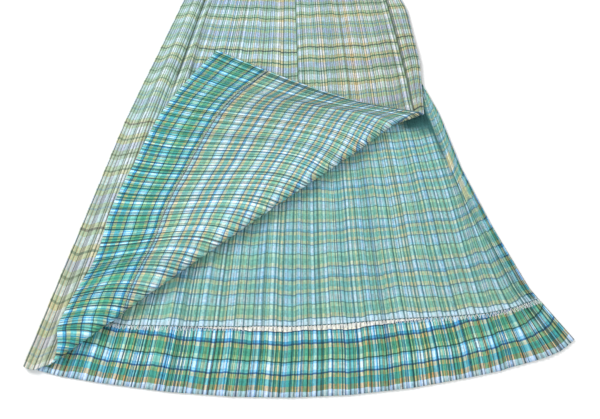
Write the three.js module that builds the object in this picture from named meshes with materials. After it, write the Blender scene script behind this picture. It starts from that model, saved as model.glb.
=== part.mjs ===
// A pleated A-line skirt, laid flat on a table with its front up.
//
// The left side is closed. The right side is open from the hip down, as a slit, so the front's lower
// right has been turned back over the front: it shows the front's inside, and under it the inside of
// the back. Both panels end in a deep hem that is turned up inside.
//
// Millimetres. x runs across the skirt and y from the hem (-) to the waist (+), with z = 0 on the table.
// Lengths "down" the skirt are measured from the top edge of the waistband.

import * as THREE from 'three';

// ---------------------------------------------------------------- driving dimensions

const LENGTH = 768;        // top of the waistband to the lowest point of the hem
const BAND_HEIGHT = 35;    // elastic waistband
const BAND_WALL = 2.6;     // elastic between two layers of cloth
const BAND_SLOT = 1.6;     // space between the band's front and its back
const PLEATS = 100;        // pleats in each panel
const CLOTH = 1.4;         // crinkled cloth, through the wall
const VALLEY_WALL = 1.1;   // the back panel at the bottom of a pleat
const GAP = 0.3;           // between two pieces that lie together
const TURN_UP = 88;        // depth of the hem that is turned up inside the front
const SLIT_STRIPS = 5;     // pleat sides under the narrow turning along the slit

const PLEAT_AT_WAIST = 1.2;  // valley to ridge
const PLEAT_AT_HEM = 1.9;

// The two side edges. The front's right edge is its slit edge, and below the fold it is only the line
// that the cloth would follow if the front were not turned back.
const SIDES = [
  { down: 35, left: -166, back: 136, front: 136 },
  { down: 80, left: -185, back: 159, front: 159 },
  { down: 125, left: -204, back: 180, front: 180 },
  { down: 219, left: -243, back: 197, front: 198 },
  { down: 258, left: -260, back: 202, front: 200 },
  { down: 305, left: -279, back: 226, front: 202 },
  { down: 321, left: -286, back: 232, front: 206 },
  { down: 401, left: -314, back: 260, front: 231 },
  { down: 499, left: -348, back: 306, front: 262 },
  { down: 598, left: -383, back: 359, front: 300 },
  { down: 636, left: -396, back: 390, front: 315 },
  { down: 679, left: -411, back: 425, front: 332 },
  { down: 768, left: -443, back: 498, front: 366 },
];

// How far down the hem lies, by share of the way from the left side (0) to the right side (1).
const BACK_HEM = [
  { share: 0, down: 717 },
  { share: 0.03, down: 727 },
  { share: 0.07, down: 735 },
  { share: 0.14, down: 746 },
  { share: 0.25, down: 758.5 },
  { share: 0.36, down: 766.5 },
  { share: 0.455, down: 768 },
  { share: 0.55, down: 764 },
  { share: 0.655, down: 753.5 },
  { share: 0.765, down: 737 },
  { share: 0.825, down: 727 },
  { share: 0.887, down: 714 },
  { share: 0.92, down: 707 },
  { share: 0.956, down: 697 },
  { share: 1, down: 679 },
];
// How deep the back's turned-up hem is, measured straight down; its pleats lean outwards to the right.
const BACK_TURN_UP = [
  { share: 0, depth: 88 },
  { share: 0.17, depth: 91 },
  { share: 0.25, depth: 99.5 },
  { share: 0.335, depth: 105 },
  { share: 0.42, depth: 108.5 },
  { share: 0.54, depth: 107.5 },
  { share: 0.655, depth: 103.5 },
  { share: 0.77, depth: 90 },
  { share: 0.86, depth: 80 },
  { share: 0.93, depth: 73 },
  { share: 1, depth: 63 },
];
const FRONT_HEM = [
  { share: 0, down: 718 },
  { share: 0.015, down: 724 },
  { share: 0.03, down: 727 },
  { share: 0.048, down: 720 },
  { share: 0.072, down: 717 },
  { share: 0.2, down: 735 },
  { share: 0.5, down: 766 },
  { share: 0.8, down: 745 },
  { share: 1, down: 700 },
];

// The stretches down the skirt in which the closed right side turns into the open slit edges.
const BACK_OPENS = { from: 225, to: 300 };
const FRONT_OPENS = { from: 150, to: 205 };

// The edge of the fold where the front turns back, from the hem near the left side to the slit.
const FOLD = [
  { x: -480, down: 787 },
  { x: -364, down: 704 },
  { x: -249, down: 620 },
  { x: -120, down: 526 },
  { x: 0, down: 440 },
  { x: 92, down: 376 },
  { x: 156, down: 327 },
  { x: 210, down: 308 },
  { x: 330, down: 240 },
];
const FOLD_ANGLE = THREE.MathUtils.degToRad(35.3);

// The front's hem edge where it lies on the front after the turn, from the fold to the slit corner.
const TURNED_HEM = [
  { x: -382, down: 716 },
  { x: -373, down: 700 },
  { x: -375, down: 667 },
  { x: -353, down: 614 },
  { x: -320, down: 549 },
  { x: -300, down: 472 },
  { x: -268, down: 399 },
  { x: -231, down: 318 },
  { x: -185, down: 253 },
  { x: -137, down: 200 },
];

// The turned pleats run in shallow waves from the fold to the hem edge: how steeply they rise where they
// leave the fold, and how they lie at the hem edge, in degrees, by share of the way along the fold.
const TURNED_PLEATS = [
  { turned: 0, fold: 8, hem: 0 },
  { turned: 0.15, fold: 12, hem: 15 },
  { turned: 0.23, fold: 18, hem: 14 },
  { turned: 0.32, fold: 20, hem: 0 },
  { turned: 0.47, fold: 20, hem: -11 },
  { turned: 0.6, fold: 36, hem: -13 },
  { turned: 0.75, fold: 32, hem: -15 },
  { turned: 0.84, fold: 24, hem: -23 },
  { turned: 0.9, fold: 14, hem: -24 },
  { turned: 1, fold: 8, hem: -24 },
];
// Each turned pleat leaves the fold, and reaches the hem edge, straight for these shares of its length.
const STRAIGHT_AT_FOLD = 0.3;
const STRAIGHT_AT_HEM = 0.38;
// The pleats crowd a little towards the slit along the turned hem edge, and the turned cloth comes down
// from the roll to lie on the front within this distance.
const CROWD = 0.36;
const CROWD_POWER = 1.5;
const SETTLE = 130;
const TABLE_FROM = 60;     // a pleat with at least this much cloth turned back ends on the table's edge

// Where the fold meets the front's hem, and the radius of the soft roll there, midway and at the slit.
const FOLD_START = 0.048;
const ROLL_AT_HEM = 3.5;
const ROLL_BULGE = 3.5;
const ROLL_AT_SLIT = 5;

// The largest folds of the front, as soft ridges across the panel: share of the way across, half width
// as a share, and the stretch down the panel in which the ridge rises and ends.
const RIDGES = [
  { share: 0.085, width: 0.03, height: 3.5, from: 35, full: 90, to: 330 },
  { share: 0.5, width: 0.12, height: 1.5, from: 50, full: 110, to: 230 },
  { share: 0.975, width: 0.028, height: 4, from: 130, full: 215, to: 420 },
];
const RIDGE_LEVEL = 40;    // a ridge keeps its full height for this length

// Between these two places down the skirt the front rises from the back panel onto both turned-up hems.
const RISE_FROM = 325;
const RISE_TO = 630;

// Pleats wander from side to side by waves in columns, and vary in depth by another.
const WANDER = [
  { size: 0.22, turn: 2.1, start: 0 },
  { size: 0.15, turn: 0.7, start: 1 },
];
const DEPTH_WAVE = { size: 0.15, turn: 1.7, sway: 0.45 };

// Rows of points down the back, as shares of the way to the hem.
const BACK_SHARES = [0, 0.14, 0.286, 0.42, 0.56, 0.71, 'turn-up', 1];

// Rows of points down the front. With less cloth than this past the fold, row 2 is the upper edge of the
// turned-up hem; with more than the second length, it lies at this share of the flat part, above the fold.
const HARDLY_TURNED = 84;
const FULLY_TURNED = 140;
const LOWER_ROW = 0.32;
const UPPER_ROW = 0.488;   // row 1, as a share of the way from the waistband to row 2
const BUNCH = 40;          // where no cloth is turned back, the last rows share this length at the hem

// ---------------------------------------------------------------- worked out from these

const BACK_TOP = VALLEY_WALL + PLEAT_AT_HEM;
const HALF_WALL = CLOTH / 2 + PLEAT_AT_HEM / 2;
const LAYER = CLOTH + GAP;
const FRONT_REST = BACK_TOP + GAP + HALF_WALL;
const HEM_REST = FRONT_REST + 2 * LAYER;
const TURNED_REST = 2 * HALF_WALL + 2 * GAP;
const COLUMNS = 2 * PLEATS;
const FRONT_ROWS = 9;
const TUCK = CLOTH / 2 + 2 * GAP;    // the back's closed edges stop this far inside the front's
const along = new THREE.Vector2(Math.cos(FOLD_ANGLE), -Math.sin(FOLD_ANGLE));
const across = new THREE.Vector2(Math.sin(FOLD_ANGLE), Math.cos(FOLD_ANGLE));

const { lerp, smoothstep, clamp } = THREE.MathUtils;

// A table's column at a place between its rows, on straight lines that go on past both ends.
function look(table, key, at, column) {
  let k = 0;
  while (k < table.length - 2 && table[k + 1][key] < at) k += 1;
  const a = table[k];
  const b = table[k + 1];
  return lerp(a[column], b[column], (at - a[key]) / (b[key] - a[key]));
}

// ---------------------------------------------------------------- pleats

// Pleats are uneven: a column's share of the way across, and how deep its ridge or valley is.
function pleatShare(column) {
  if (column <= 0 || column >= COLUMNS) return clamp(column / COLUMNS, 0, 1);
  const aside = WANDER.map((wave) => wave.size * Math.sin(wave.turn * column + wave.start));
  return (column + aside[0] + aside[1]) / COLUMNS;
}

function pleatHeight(column, down) {
  const { size, turn, sway } = DEPTH_WAVE;
  const uneven = 1 - size + size * Math.sin(turn * column + Math.sin(sway * column));
  return uneven * lerp(PLEAT_AT_WAIST, PLEAT_AT_HEM, smoothstep(down, BAND_HEIGHT, LENGTH));
}

function isRidge(column) {
  return column % 2 === 1;
}

// ---------------------------------------------------------------- closed cloth walls

// A wall between two surfaces of points, upper[i][j] and lower[i][j], over the cells that `covers`
// accepts: both faces of each cell, and an edge wherever the next cell is left out.
function clothWall(upper, lower, covers) {
  const rows = upper[0].length;
  const points = [...upper.flat(), ...lower.flat()];
  const index = [];
  const up = (i, j) => i * rows + j;
  const low = (i, j) => upper.length * rows + i * rows + j;
  const has = (i, j) => i >= 0 && j >= 0 && i < upper.length - 1 && j < rows - 1 && covers(i, j);
  const quad = (a, b, c, d) => index.push(a, b, c, a, c, d);
  for (let i = 0; i < upper.length - 1; i += 1) {
    for (let j = 0; j < rows - 1; j += 1) {
      if (!has(i, j)) continue;
      quad(up(i, j), up(i, j + 1), up(i + 1, j + 1), up(i + 1, j));
      quad(low(i, j), low(i + 1, j), low(i + 1, j + 1), low(i, j + 1));
      if (!has(i - 1, j)) quad(up(i, j), low(i, j), low(i, j + 1), up(i, j + 1));
      if (!has(i + 1, j)) quad(up(i + 1, j), up(i + 1, j + 1), low(i + 1, j + 1), low(i + 1, j));
      if (!has(i, j - 1)) quad(up(i, j), up(i + 1, j), low(i + 1, j), low(i, j));
      if (!has(i, j + 1)) quad(up(i, j + 1), low(i, j + 1), low(i + 1, j + 1), up(i + 1, j + 1));
    }
  }
  return solid(points, index);
}

// A wall from a surface of points down to the flat table. Its underside has only the points of its rim:
// a fan to the waist edge, a band for each row between the side edges, and a fan to the hem edge.
function wallOnTable(upper) {
  const rows = upper[0].length;
  const last = upper.length - 1;
  const points = upper.flat();
  const foot = new Map();
  const at = (i, j) => i * rows + j;
  const under = (i, j) => {
    const k = at(i, j);
    if (!foot.has(k)) foot.set(k, points.push(new THREE.Vector3(points[k].x, points[k].y, 0)) - 1);
    return foot.get(k);
  };
  const index = [];
  const quad = (p, q, r, s) => index.push(p, q, r, p, r, s);
  for (let i = 0; i < last; i += 1) {
    for (let j = 0; j < rows - 1; j += 1) quad(at(i, j), at(i, j + 1), at(i + 1, j + 1), at(i + 1, j));
    quad(at(i, 0), at(i + 1, 0), under(i + 1, 0), under(i, 0));
    quad(at(i, rows - 1), under(i, rows - 1), under(i + 1, rows - 1), at(i + 1, rows - 1));
    index.push(under(0, 1), under(i, 0), under(i + 1, 0));
    index.push(under(0, rows - 2), under(i + 1, rows - 1), under(i, rows - 1));
  }
  index.push(under(0, 1), under(last, 0), under(last, 1));
  index.push(under(0, rows - 2), under(last, rows - 2), under(last, rows - 1));
  for (let j = 0; j < rows - 1; j += 1) {
    quad(at(0, j), under(0, j), under(0, j + 1), at(0, j + 1));
    quad(at(last, j), at(last, j + 1), under(last, j + 1), under(last, j));
    if (j > 0 && j < rows - 2) quad(under(0, j), under(last, j), under(last, j + 1), under(0, j + 1));
  }
  return solid(points, index);
}

// The mesh of a closed wall, without the points that it doesn't use.
function solid(points, index) {
  const used = [...new Set(index)].sort((a, b) => a - b);
  const slot = new Map(used.map((k, n) => [k, n]));
  const geometry = new THREE.BufferGeometry().setFromPoints(used.map((k) => points[k]));
  geometry.setIndex(index.map((k) => slot.get(k)));
  geometry.computeVertexNormals();
  return geometry;
}

function place(x, down, z) {
  return new THREE.Vector3(x, LENGTH / 2 - down, z);
}

// ---------------------------------------------------------------- back panel

// The back lies inside up and flat on the table. Its closed edges stop just inside the front's.
function backPoint(column, share, lift) {
  const hem = look(BACK_HEM, 'share', column / COLUMNS, 'down');
  const depth = look(BACK_TURN_UP, 'share', column / COLUMNS, 'depth');
  const turn = (hem - depth - BAND_HEIGHT) / (hem - BAND_HEIGHT);
  const part = share === 'turn-up' ? turn : share;
  const down = lerp(BAND_HEIGHT + GAP, hem, part);
  const closed = 1 - smoothstep(down, BACK_OPENS.from, BACK_OPENS.to);
  const left = look(SIDES, 'down', down, 'left') + TUCK;
  const right = look(SIDES, 'down', down, 'back') - TUCK * closed;
  const edge = column === 0 || column === COLUMNS;
  const height = isRidge(column) && !edge ? pleatHeight(column, down) : 0;
  return place(lerp(left, right, pleatShare(column)), down, VALLEY_WALL + height + lift);
}

function backSurface(lift) {
  const columns = [];
  for (let i = 0; i <= COLUMNS; i += 1) columns.push(BACK_SHARES.map((s) => backPoint(i, s, lift)));
  return columns;
}

function makeBackPanel() {
  return wallOnTable(backSurface(0));
}

function makeBackHem() {
  const first = BACK_SHARES.indexOf('turn-up');
  const covers = (i, j) => j >= first && i >= 2;
  return clothWall(backSurface(GAP + CLOTH), backSurface(GAP), covers);
}

function makeBackSlitTurning() {
  const covers = (i, j) => i >= COLUMNS - SLIT_STRIPS && j >= 2 && j < BACK_SHARES.indexOf('turn-up') - 1;
  return clothWall(backSurface(GAP + CLOTH), backSurface(GAP), covers);
}

// ---------------------------------------------------------------- front panel

// The front lies outside up on the back, and higher where both turned-up hems are under it.
function frontRest(share, down) {
  let z = lerp(FRONT_REST, HEM_REST, clamp((down - RISE_FROM) / (RISE_TO - RISE_FROM), 0, 1));
  RIDGES.forEach((ridge) => {
    const side = (share - ridge.share) / ridge.width;
    const fall = smoothstep(down, ridge.full + RIDGE_LEVEL, ridge.to);
    const rise = smoothstep(down, ridge.from, ridge.full) * (1 - fall);
    z += ridge.height * Math.exp(-side * side) * rise;
  });
  return z;
}

// The closed side edges come down to the table round the back's edge: how far in from the side the
// first columns stand, and the share of the height that they keep.
const SIDE_COLUMNS = [
  { inset: 0, keep: 0 },
  { inset: 0.9, keep: 0.62 },
  { inset: 3, keep: 1 },
];
const SIDE_FOOT = 1;

function sideColumn(column) {
  return SIDE_COLUMNS[column] ?? SIDE_COLUMNS[COLUMNS - column];
}

// A point of the front's middle surface where it is not turned back.
function flatFront(column, down) {
  const left = look(SIDES, 'down', down, 'left');
  const right = look(SIDES, 'down', down, 'front');
  const inset = SIDE_COLUMNS[2].inset;
  const share = clamp((pleatShare(column) * COLUMNS - 2) / (COLUMNS - 4), 0, 1);
  const rest = frontRest(column / COLUMNS, down);
  const side = sideColumn(column);
  if (!side) return place(lerp(left + inset, right - inset, share), down, rest);
  if (column < PLEATS) return place(left + side.inset, down, lerp(SIDE_FOOT, rest, side.keep));
  const closed = 1 - smoothstep(down, FRONT_OPENS.from, FRONT_OPENS.to);
  return place(right - side.inset, down, lerp(rest, lerp(SIDE_FOOT, rest, side.keep), closed));
}

function rollRadius(turned) {
  const t = clamp(turned, 0, 1);
  return lerp(ROLL_AT_HEM, ROLL_AT_SLIT, t) + ROLL_BULGE * Math.sin(Math.PI * t);
}

// Where a column's cloth leaves the table for the roll: there the roll's radius is left to the fold edge.
function rollStart(column, radius) {
  let high = BAND_HEIGHT;
  let low = LENGTH + 60;
  for (let n = 0; n < 40; n += 1) {
    const down = (high + low) / 2;
    const x = flatFront(column, down).x + across.x * radius;
    const before = down + across.y * radius < look(FOLD, 'x', x, 'down');
    if (before) high = down;
    else low = down;
  }
  return high;
}

// The turned hem edge as a smooth curve, for points by their share of its length.
const turnedHem = new THREE.SplineCurve(TURNED_HEM.map((row) => new THREE.Vector2(row.x, row.down)));

// Everything that one column of the front needs: where it starts to roll, which way it runs there, and
// how much cloth is left from there to the hem.
function frontColumn(column) {
  const share = column / COLUMNS;
  const turned = (share - FOLD_START) / (1 - FOLD_START);
  const radius = rollRadius(turned);
  const start = rollStart(column, radius);
  const hem = look(FRONT_HEM, 'share', share, 'down');
  const foot = flatFront(column, start);
  const step = 20;
  const run = new THREE.Vector2(foot.x - flatFront(column, start - step).x, step).normalize();
  return { column, turned, radius, start, foot, run, left: hem - start, arc: Math.PI * radius / run.dot(across) };
}

// A point of the front's middle surface, a length s of cloth past the start of the roll: a helix round
// the roll, then a curve that leaves it as a mirror image would and ends at the turned hem edge.
function turnedFront(c, s) {
  if (s <= 0) return flatFront(c.column, c.start + s);
  const origin = new THREE.Vector2(c.foot.x, c.start);
  const slide = along.clone().multiplyScalar(c.run.dot(along));
  if (s <= c.arc) {
    const angle = Math.PI * s / c.arc;
    const p = origin.addScaledVector(slide, s).addScaledVector(across, c.radius * Math.sin(angle));
    return place(p.x, p.y, c.foot.z + c.radius * (1 - Math.cos(angle)));
  }
  const away = slide.clone().addScaledVector(across, -c.run.dot(across));
  const leave = origin.addScaledVector(slide, c.arc);
  const rest = c.left - c.arc;
  const straight = leave.clone().addScaledVector(away, rest);
  const turned = clamp(c.turned, 0, 1);
  const crowded = turned + CROWD * Math.pow(turned, CROWD_POWER) * (1 - turned);
  const end = straight.lerp(turnedHem.getPointAt(crowded), smoothstep(rest, 0, TABLE_FROM));
  const reach = leave.distanceTo(end);
  const rise = THREE.MathUtils.degToRad(look(TURNED_PLEATS, 'turned', turned, 'fold'));
  const level = THREE.MathUtils.degToRad(look(TURNED_PLEATS, 'turned', turned, 'hem'));
  const fromFold = new THREE.Vector2(-Math.cos(rise), -Math.sin(rise)).multiplyScalar(STRAIGHT_AT_FOLD * reach);
  const fromHem = new THREE.Vector2(Math.cos(level), -Math.sin(level)).multiplyScalar(STRAIGHT_AT_HEM * reach);
  const curve = new THREE.CubicBezierCurve(leave, leave.clone().add(fromFold), end.clone().add(fromHem), end);
  const t = (s - c.arc) / rest;
  const p = curve.getPoint(t);
  const lift = c.foot.z + 2 * c.radius - restUnderTurned(leave);
  const fall = 1 - smoothstep(t * reach, 0, SETTLE);
  return place(p.x, p.y, restUnderTurned(p) + lift * fall);
}

function restUnderTurned(p) {
  const left = look(SIDES, 'down', p.y, 'left');
  const right = look(SIDES, 'down', p.y, 'front');
  return TURNED_REST + frontRest((p.x - left) / (right - left), p.y);
}

// The lengths s at which a column has its rows. Rows 3 to 6 go round the roll, and row 8 is the upper
// edge of the turned-up hem. Where little or no cloth is turned back they bunch up at the hem.
function frontRows(c) {
  const { left, arc, start } = c;
  const spare = left - TURN_UP - arc;
  const settled = smoothstep(spare, 0, BUNCH);
  const seventh = arc + lerp((left - arc) / 3, spare / 2, settled);
  const eighth = arc + lerp((left - arc) * 2 / 3, spare, settled);
  const full = [0, arc / 3, arc * 2 / 3, arc, seventh, eighth, left];
  const bunched = full.map((_, k) => left - BUNCH + BUNCH * k / (full.length - 1));
  const rolled = smoothstep(left, 5, 45);
  const last = full.map((s, k) => lerp(bunched[k], s, rolled));
  const turnedBack = smoothstep(left, HARDLY_TURNED, FULLY_TURNED);
  const upper = lerp(left - TURN_UP, -LOWER_ROW * (start - BAND_HEIGHT), turnedBack);
  const top = BAND_HEIGHT + GAP - start;
  return [top, lerp(top, upper, UPPER_ROW), upper, ...last];
}

const FRONT = [];
for (let i = 0; i <= COLUMNS; i += 1) {
  const c = frontColumn(i);
  const rows = frontRows(c);
  FRONT.push({ c, rows, points: rows.map((s) => turnedFront(c, s)) });
}

// The outward direction at each point of the middle surface, from its neighbours.
function outward(i, j) {
  const near = (k) => clamp(k, 0, COLUMNS);
  const row = (k) => clamp(k, 0, FRONT_ROWS);
  const u = FRONT[near(i + 1)].points[j].clone().sub(FRONT[near(i - 1)].points[j]);
  const v = FRONT[i].points[row(j + 1)].clone().sub(FRONT[i].points[row(j - 1)]);
  return v.cross(u).normalize();
}

// The front's surface, moved along its outward direction: the pleats are in its middle surface.
function frontSurface(lift) {
  return FRONT.map(({ c, rows, points }, i) => points.map((p, j) => {
    const edge = i <= 1 || i >= COLUMNS - 1;
    const half = edge ? 0 : pleatHeight(i, c.start + rows[j]) / 2;
    return p.clone().addScaledVector(outward(i, j), lift + (isRidge(i) ? half : -half));
  }));
}

function makeFrontPanel() {
  return clothWall(frontSurface(CLOTH / 2), frontSurface(-CLOTH / 2), () => true);
}

// The row nearest to the upper edge of the turned-up hem. Row 2 is that edge where the hem lies flat.
function turnUpRow(i) {
  const { c, rows } = FRONT[i];
  if (c.left < HARDLY_TURNED) return 2;
  const miss = rows.map((s, j) => (j < 3 ? Infinity : Math.abs(s - (c.left - TURN_UP))));
  return miss.indexOf(Math.min(...miss));
}

function makeFrontHem() {
  const covers = (i, j) => i >= 3 && j >= turnUpRow(i);
  return clothWall(frontSurface(-CLOTH / 2 - GAP), frontSurface(-CLOTH / 2 - GAP - CLOTH), covers);
}

function makeFrontSlitTurning() {
  const covers = (i, j) => i >= COLUMNS - SLIT_STRIPS && j >= 3 && j < FRONT_ROWS - 2;
  return clothWall(frontSurface(-CLOTH / 2 - GAP), frontSurface(-CLOTH / 2 - GAP - CLOTH), covers);
}

// ---------------------------------------------------------------- waistband

// A flattened loop with round ends, its slot open at the top and the bottom.
function makeWaistband() {
  const { left, front: right } = SIDES[0];
  const height = 2 * BAND_WALL + BAND_SLOT;
  const loop = (path, inset) => {
    const radius = height / 2 - inset;
    path.moveTo(left + height / 2, inset);
    path.lineTo(right - height / 2, inset);
    path.absarc(right - height / 2, height / 2, radius, -Math.PI / 2, Math.PI / 2, false);
    path.lineTo(left + height / 2, height - inset);
    path.absarc(left + height / 2, height / 2, radius, Math.PI / 2, 1.5 * Math.PI, false);
    return path;
  };
  const shape = loop(new THREE.Shape(), 0);
  shape.holes.push(loop(new THREE.Path(), BAND_WALL));
  const geometry = new THREE.ExtrudeGeometry(shape, { depth: BAND_HEIGHT, bevelEnabled: false, curveSegments: 6 });
  geometry.rotateX(Math.PI / 2);
  geometry.translate(0, LENGTH / 2, 0);
  return geometry;
}

// ---------------------------------------------------------------- the skirt

const LOOKS = {
  outside: { color: 0xb9c4a4, roughness: 0.82 },
  inside: { color: 0x6fa58f, roughness: 0.86 },
  turnUp: { color: 0x3f9a8c, roughness: 0.84 },
};

function piece(name, geometry, look) {
  const mesh = new THREE.Mesh(geometry, new THREE.MeshStandardMaterial({ ...look, metalness: 0 }));
  mesh.name = name;
  return mesh;
}

const skirt = new THREE.Group();
skirt.add(
  piece('waistband', makeWaistband(), LOOKS.outside),
  piece('back_panel', makeBackPanel(), LOOKS.inside),
  piece('back_hem', makeBackHem(), LOOKS.turnUp),
  piece('back_slit_turning', makeBackSlitTurning(), LOOKS.turnUp),
  piece('front_panel', makeFrontPanel(), LOOKS.outside),
  piece('front_hem', makeFrontHem(), LOOKS.turnUp),
  piece('front_slit_turning', makeFrontSlitTurning(), LOOKS.turnUp),
);

export default skirt;
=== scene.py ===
# %% [markdown]
# # A pleated skirt, laid flat
# The skirt lies on a pale floor with its front up. Its right side is open as a slit, and the front has
# been turned back there, so that the inside of the front and of the back show. The cloth is a yarn-dyed
# plaid, heat-set into narrow crinkled pleats that fan out from the waistband to the hem.
#
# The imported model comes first: it is the frame that every piece here is fitted to.

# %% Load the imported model
import math

import bpy
import numpy as np
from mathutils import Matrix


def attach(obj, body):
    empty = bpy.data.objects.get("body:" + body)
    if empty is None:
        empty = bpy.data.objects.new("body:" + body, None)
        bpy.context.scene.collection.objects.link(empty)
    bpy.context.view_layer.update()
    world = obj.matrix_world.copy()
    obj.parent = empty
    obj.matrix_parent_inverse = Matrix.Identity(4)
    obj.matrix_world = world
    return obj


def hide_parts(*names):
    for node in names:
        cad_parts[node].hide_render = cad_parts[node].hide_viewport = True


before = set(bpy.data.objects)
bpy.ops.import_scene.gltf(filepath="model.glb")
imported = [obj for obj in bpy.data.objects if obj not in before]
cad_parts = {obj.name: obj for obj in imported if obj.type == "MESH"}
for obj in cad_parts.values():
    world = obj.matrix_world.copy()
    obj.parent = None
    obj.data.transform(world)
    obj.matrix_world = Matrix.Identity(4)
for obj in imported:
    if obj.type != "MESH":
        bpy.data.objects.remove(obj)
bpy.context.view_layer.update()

# %% [markdown]
# ## Sizes
# A skirt is drafted in millimetres, with each place named by how far down the skirt it lies from the top
# of the waistband. So the tables below do the same, and one function puts a finished piece into metres.
# A table with named columns reads like a maker's size chart, and straight lines between its rows are
# near enough for edges that curve as softly as these.

# %% Size charts
MM = 0.001
LENGTH = 768       # top of the waistband to the lowest point of the hem
BAND_HEIGHT = 35   # elastic waistband
GAP = 0.3          # between two layers that lie together
CLOTH = 0.8        # thickness of the wall that shows as cloth
LAYER = CLOTH + GAP


def chart(columns, rows):
    """A table as one array for each named column."""
    return dict(zip(columns.split(), np.array(rows, dtype=float).T))


def look(table, key, at, column):
    """A column at places between the rows: straight lines, which go on past both ends."""
    keys, values = table[key], table[column]
    k = np.clip(np.searchsorted(keys, at, side="right") - 1, 0, len(keys) - 2)
    return values[k] + (at - keys[k]) / (keys[k + 1] - keys[k]) * (values[k + 1] - values[k])


# Places across of the closed left edge, and of the right edges of the back and the front.
SIDES = chart("down left back front", [
    (35, -166, 136, 136), (80, -185, 159, 159), (125, -204, 180, 180), (219, -243, 197, 198),
    (258, -260, 202, 200), (305, -279, 226, 202), (321, -286, 232, 206), (401, -314, 260, 231),
    (499, -348, 306, 262), (598, -383, 359, 300), (636, -396, 390, 315), (679, -411, 425, 332),
    (768, -443, 498, 366)])
BACK_HEM = chart("share down", [
    (0, 717), (0.03, 727), (0.07, 735), (0.15, 746), (0.275, 759.5), (0.385, 766.5), (0.488, 768),
    (0.59, 764), (0.7, 753.5), (0.808, 737), (0.865, 727), (0.912, 714), (0.936, 707), (0.964, 697),
    (1, 679)])
BACK_TURN_UP = chart("share depth", [
    (0, 88), (0.17, 90), (0.25, 98), (0.34, 104), (0.42, 108), (0.6, 109), (0.7, 106), (0.775, 97),
    (0.86, 88), (0.925, 79), (0.96, 75), (1, 63)])
FRONT_HEM = chart("share down", [
    (0, 718), (0.015, 724), (0.03, 727), (0.048, 720), (0.072, 717), (0.2, 735), (0.5, 766), (0.8, 745),
    (1, 700)])
FRONT_TURN_UP = 88
print("the skirt is", LENGTH, "mm long and", SIDES["back"][0] - SIDES["left"][0], "mm across its waist")

# %% [markdown]
# ## Camera, floor and light
# The skirt is seen from above, leaning a little towards the hem, so the far waist looks narrower and
# part of it runs out of the frame. A large soft lamp on the left shows the relief of the pleats, and
# an even white surround keeps the shadows pale, as in a light tent.

# %% Camera
CAMERA_DISTANCE = 1.75
CAMERA_LEAN = math.radians(15)     # from straight above, towards the hem
AIM = np.array([0, -0.086, 0])
VIEW_WIDTH = 0.96                  # metres across the frame at the aim
SENSOR = 36                        # mm

camera_data = bpy.data.cameras.new("camera")
camera_data.sensor_width = SENSOR
camera_data.lens = SENSOR * CAMERA_DISTANCE / VIEW_WIDTH
camera = bpy.data.objects.new("camera", camera_data)
camera.location = AIM + CAMERA_DISTANCE * np.array([0, -math.sin(CAMERA_LEAN), math.cos(CAMERA_LEAN)])
camera.rotation_euler = (CAMERA_LEAN, 0, 0)
bpy.context.scene.collection.objects.link(camera)
bpy.context.scene.camera = camera
print("lens", round(camera_data.lens, 1), "mm")

# %% Lamps and surround


def add_lamp(name, place, size, power):
    """A square soft lamp that faces the middle of the skirt."""
    data = bpy.data.lights.new(name, "AREA")
    data.size = size
    data.energy = power
    lamp = bpy.data.objects.new(name, data)
    lamp.location = place
    towards = -lamp.location
    lamp.rotation_euler = towards.to_track_quat("-Z", "Y").to_euler()
    bpy.context.scene.collection.objects.link(lamp)


add_lamp("key_lamp", place=(-1.5, 1.1, 1.7), size=0.9, power=42)
add_lamp("fill_lamp", place=(1.4, -1.2, 2.2), size=1.8, power=14)

SURROUND_STRENGTH = 0.72
world = bpy.data.worlds.new("surround")
world.use_nodes = True
background = world.node_tree.nodes["Background"]
background.inputs["Color"].default_value = (1, 1, 1, 1)
background.inputs["Strength"].default_value = SURROUND_STRENGTH
bpy.context.scene.world = world
bpy.context.scene.view_settings.view_transform = "Standard"
print("two lamps and a white surround")

# %% [markdown]
# ## Cloth as a grid of points
# Every stretch of cloth here is one grid: columns run down the skirt, along the pleats, and rows run
# across it. numpy works out all the points of a grid at once. A grid becomes a thin closed wall with two
# faces and a rim, because a bare sheet of faces has no thickness to catch light at its cut edges. The
# same grid carries a UV map in pattern repeats, so the plaid follows the cloth round every fold.

# %% Helpers for numbers


def fade(at, start, end):
    """A soft step from 0 at start to 1 at end: 3t squared less 2t cubed."""
    t = np.clip((at - start) / (end - start), 0, 1)
    return t * t * (3 - 2 * t)


def mix(a, b, share):
    """A value on the straight line from a (share 0) to b (share 1)."""
    return a + (b - a) * share


def between(at, marks, values):
    """Straight lines through known marks and their values, each of them a number or an array."""
    value = values[0]
    for k in range(len(marks) - 1):
        step = np.clip((at - marks[k]) / (marks[k + 1] - marks[k]), 0, 1)
        value = value + (values[k + 1] - values[k]) * step
    return value


def wander(at, *waves):
    """A sum of sine waves. Each is given by its size, its pace and where it starts."""
    return sum(size * np.sin(pace * at + start) for size, pace, start in waves)


print("halfway along a soft step:", fade(5, 0, 10))

# %% Helpers for points


def on_floor(x, down, z):
    """Points of the skirt's frame from places across it, down it and above the floor, in mm."""
    x, down, z = np.broadcast_arrays(x, down, z)
    return np.stack([x, LENGTH / 2 - down, z], axis=-1)


def outward(points):
    """The unit normal at each point of a grid: the cross product of its row and column directions."""
    columns, rows = np.gradient(points, axis=0), np.gradient(points, axis=1)
    normal = np.cross(rows, columns)
    return normal / np.linalg.norm(normal, axis=-1, keepdims=True)


def quads_of(columns, rows, first=0):
    """Each cell of a grid as four point numbers, in the order that faces the outward side."""
    at = first + np.arange(columns * rows).reshape(columns, rows)
    cells = np.stack([at[:-1, :-1], at[:-1, 1:], at[1:, 1:], at[1:, :-1]], axis=-1)
    return cells.reshape(-1, 4)


print("a grid of 3 by 3 points has", len(quads_of(3, 3)), "cells")

# %% Helpers for meshes


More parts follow.
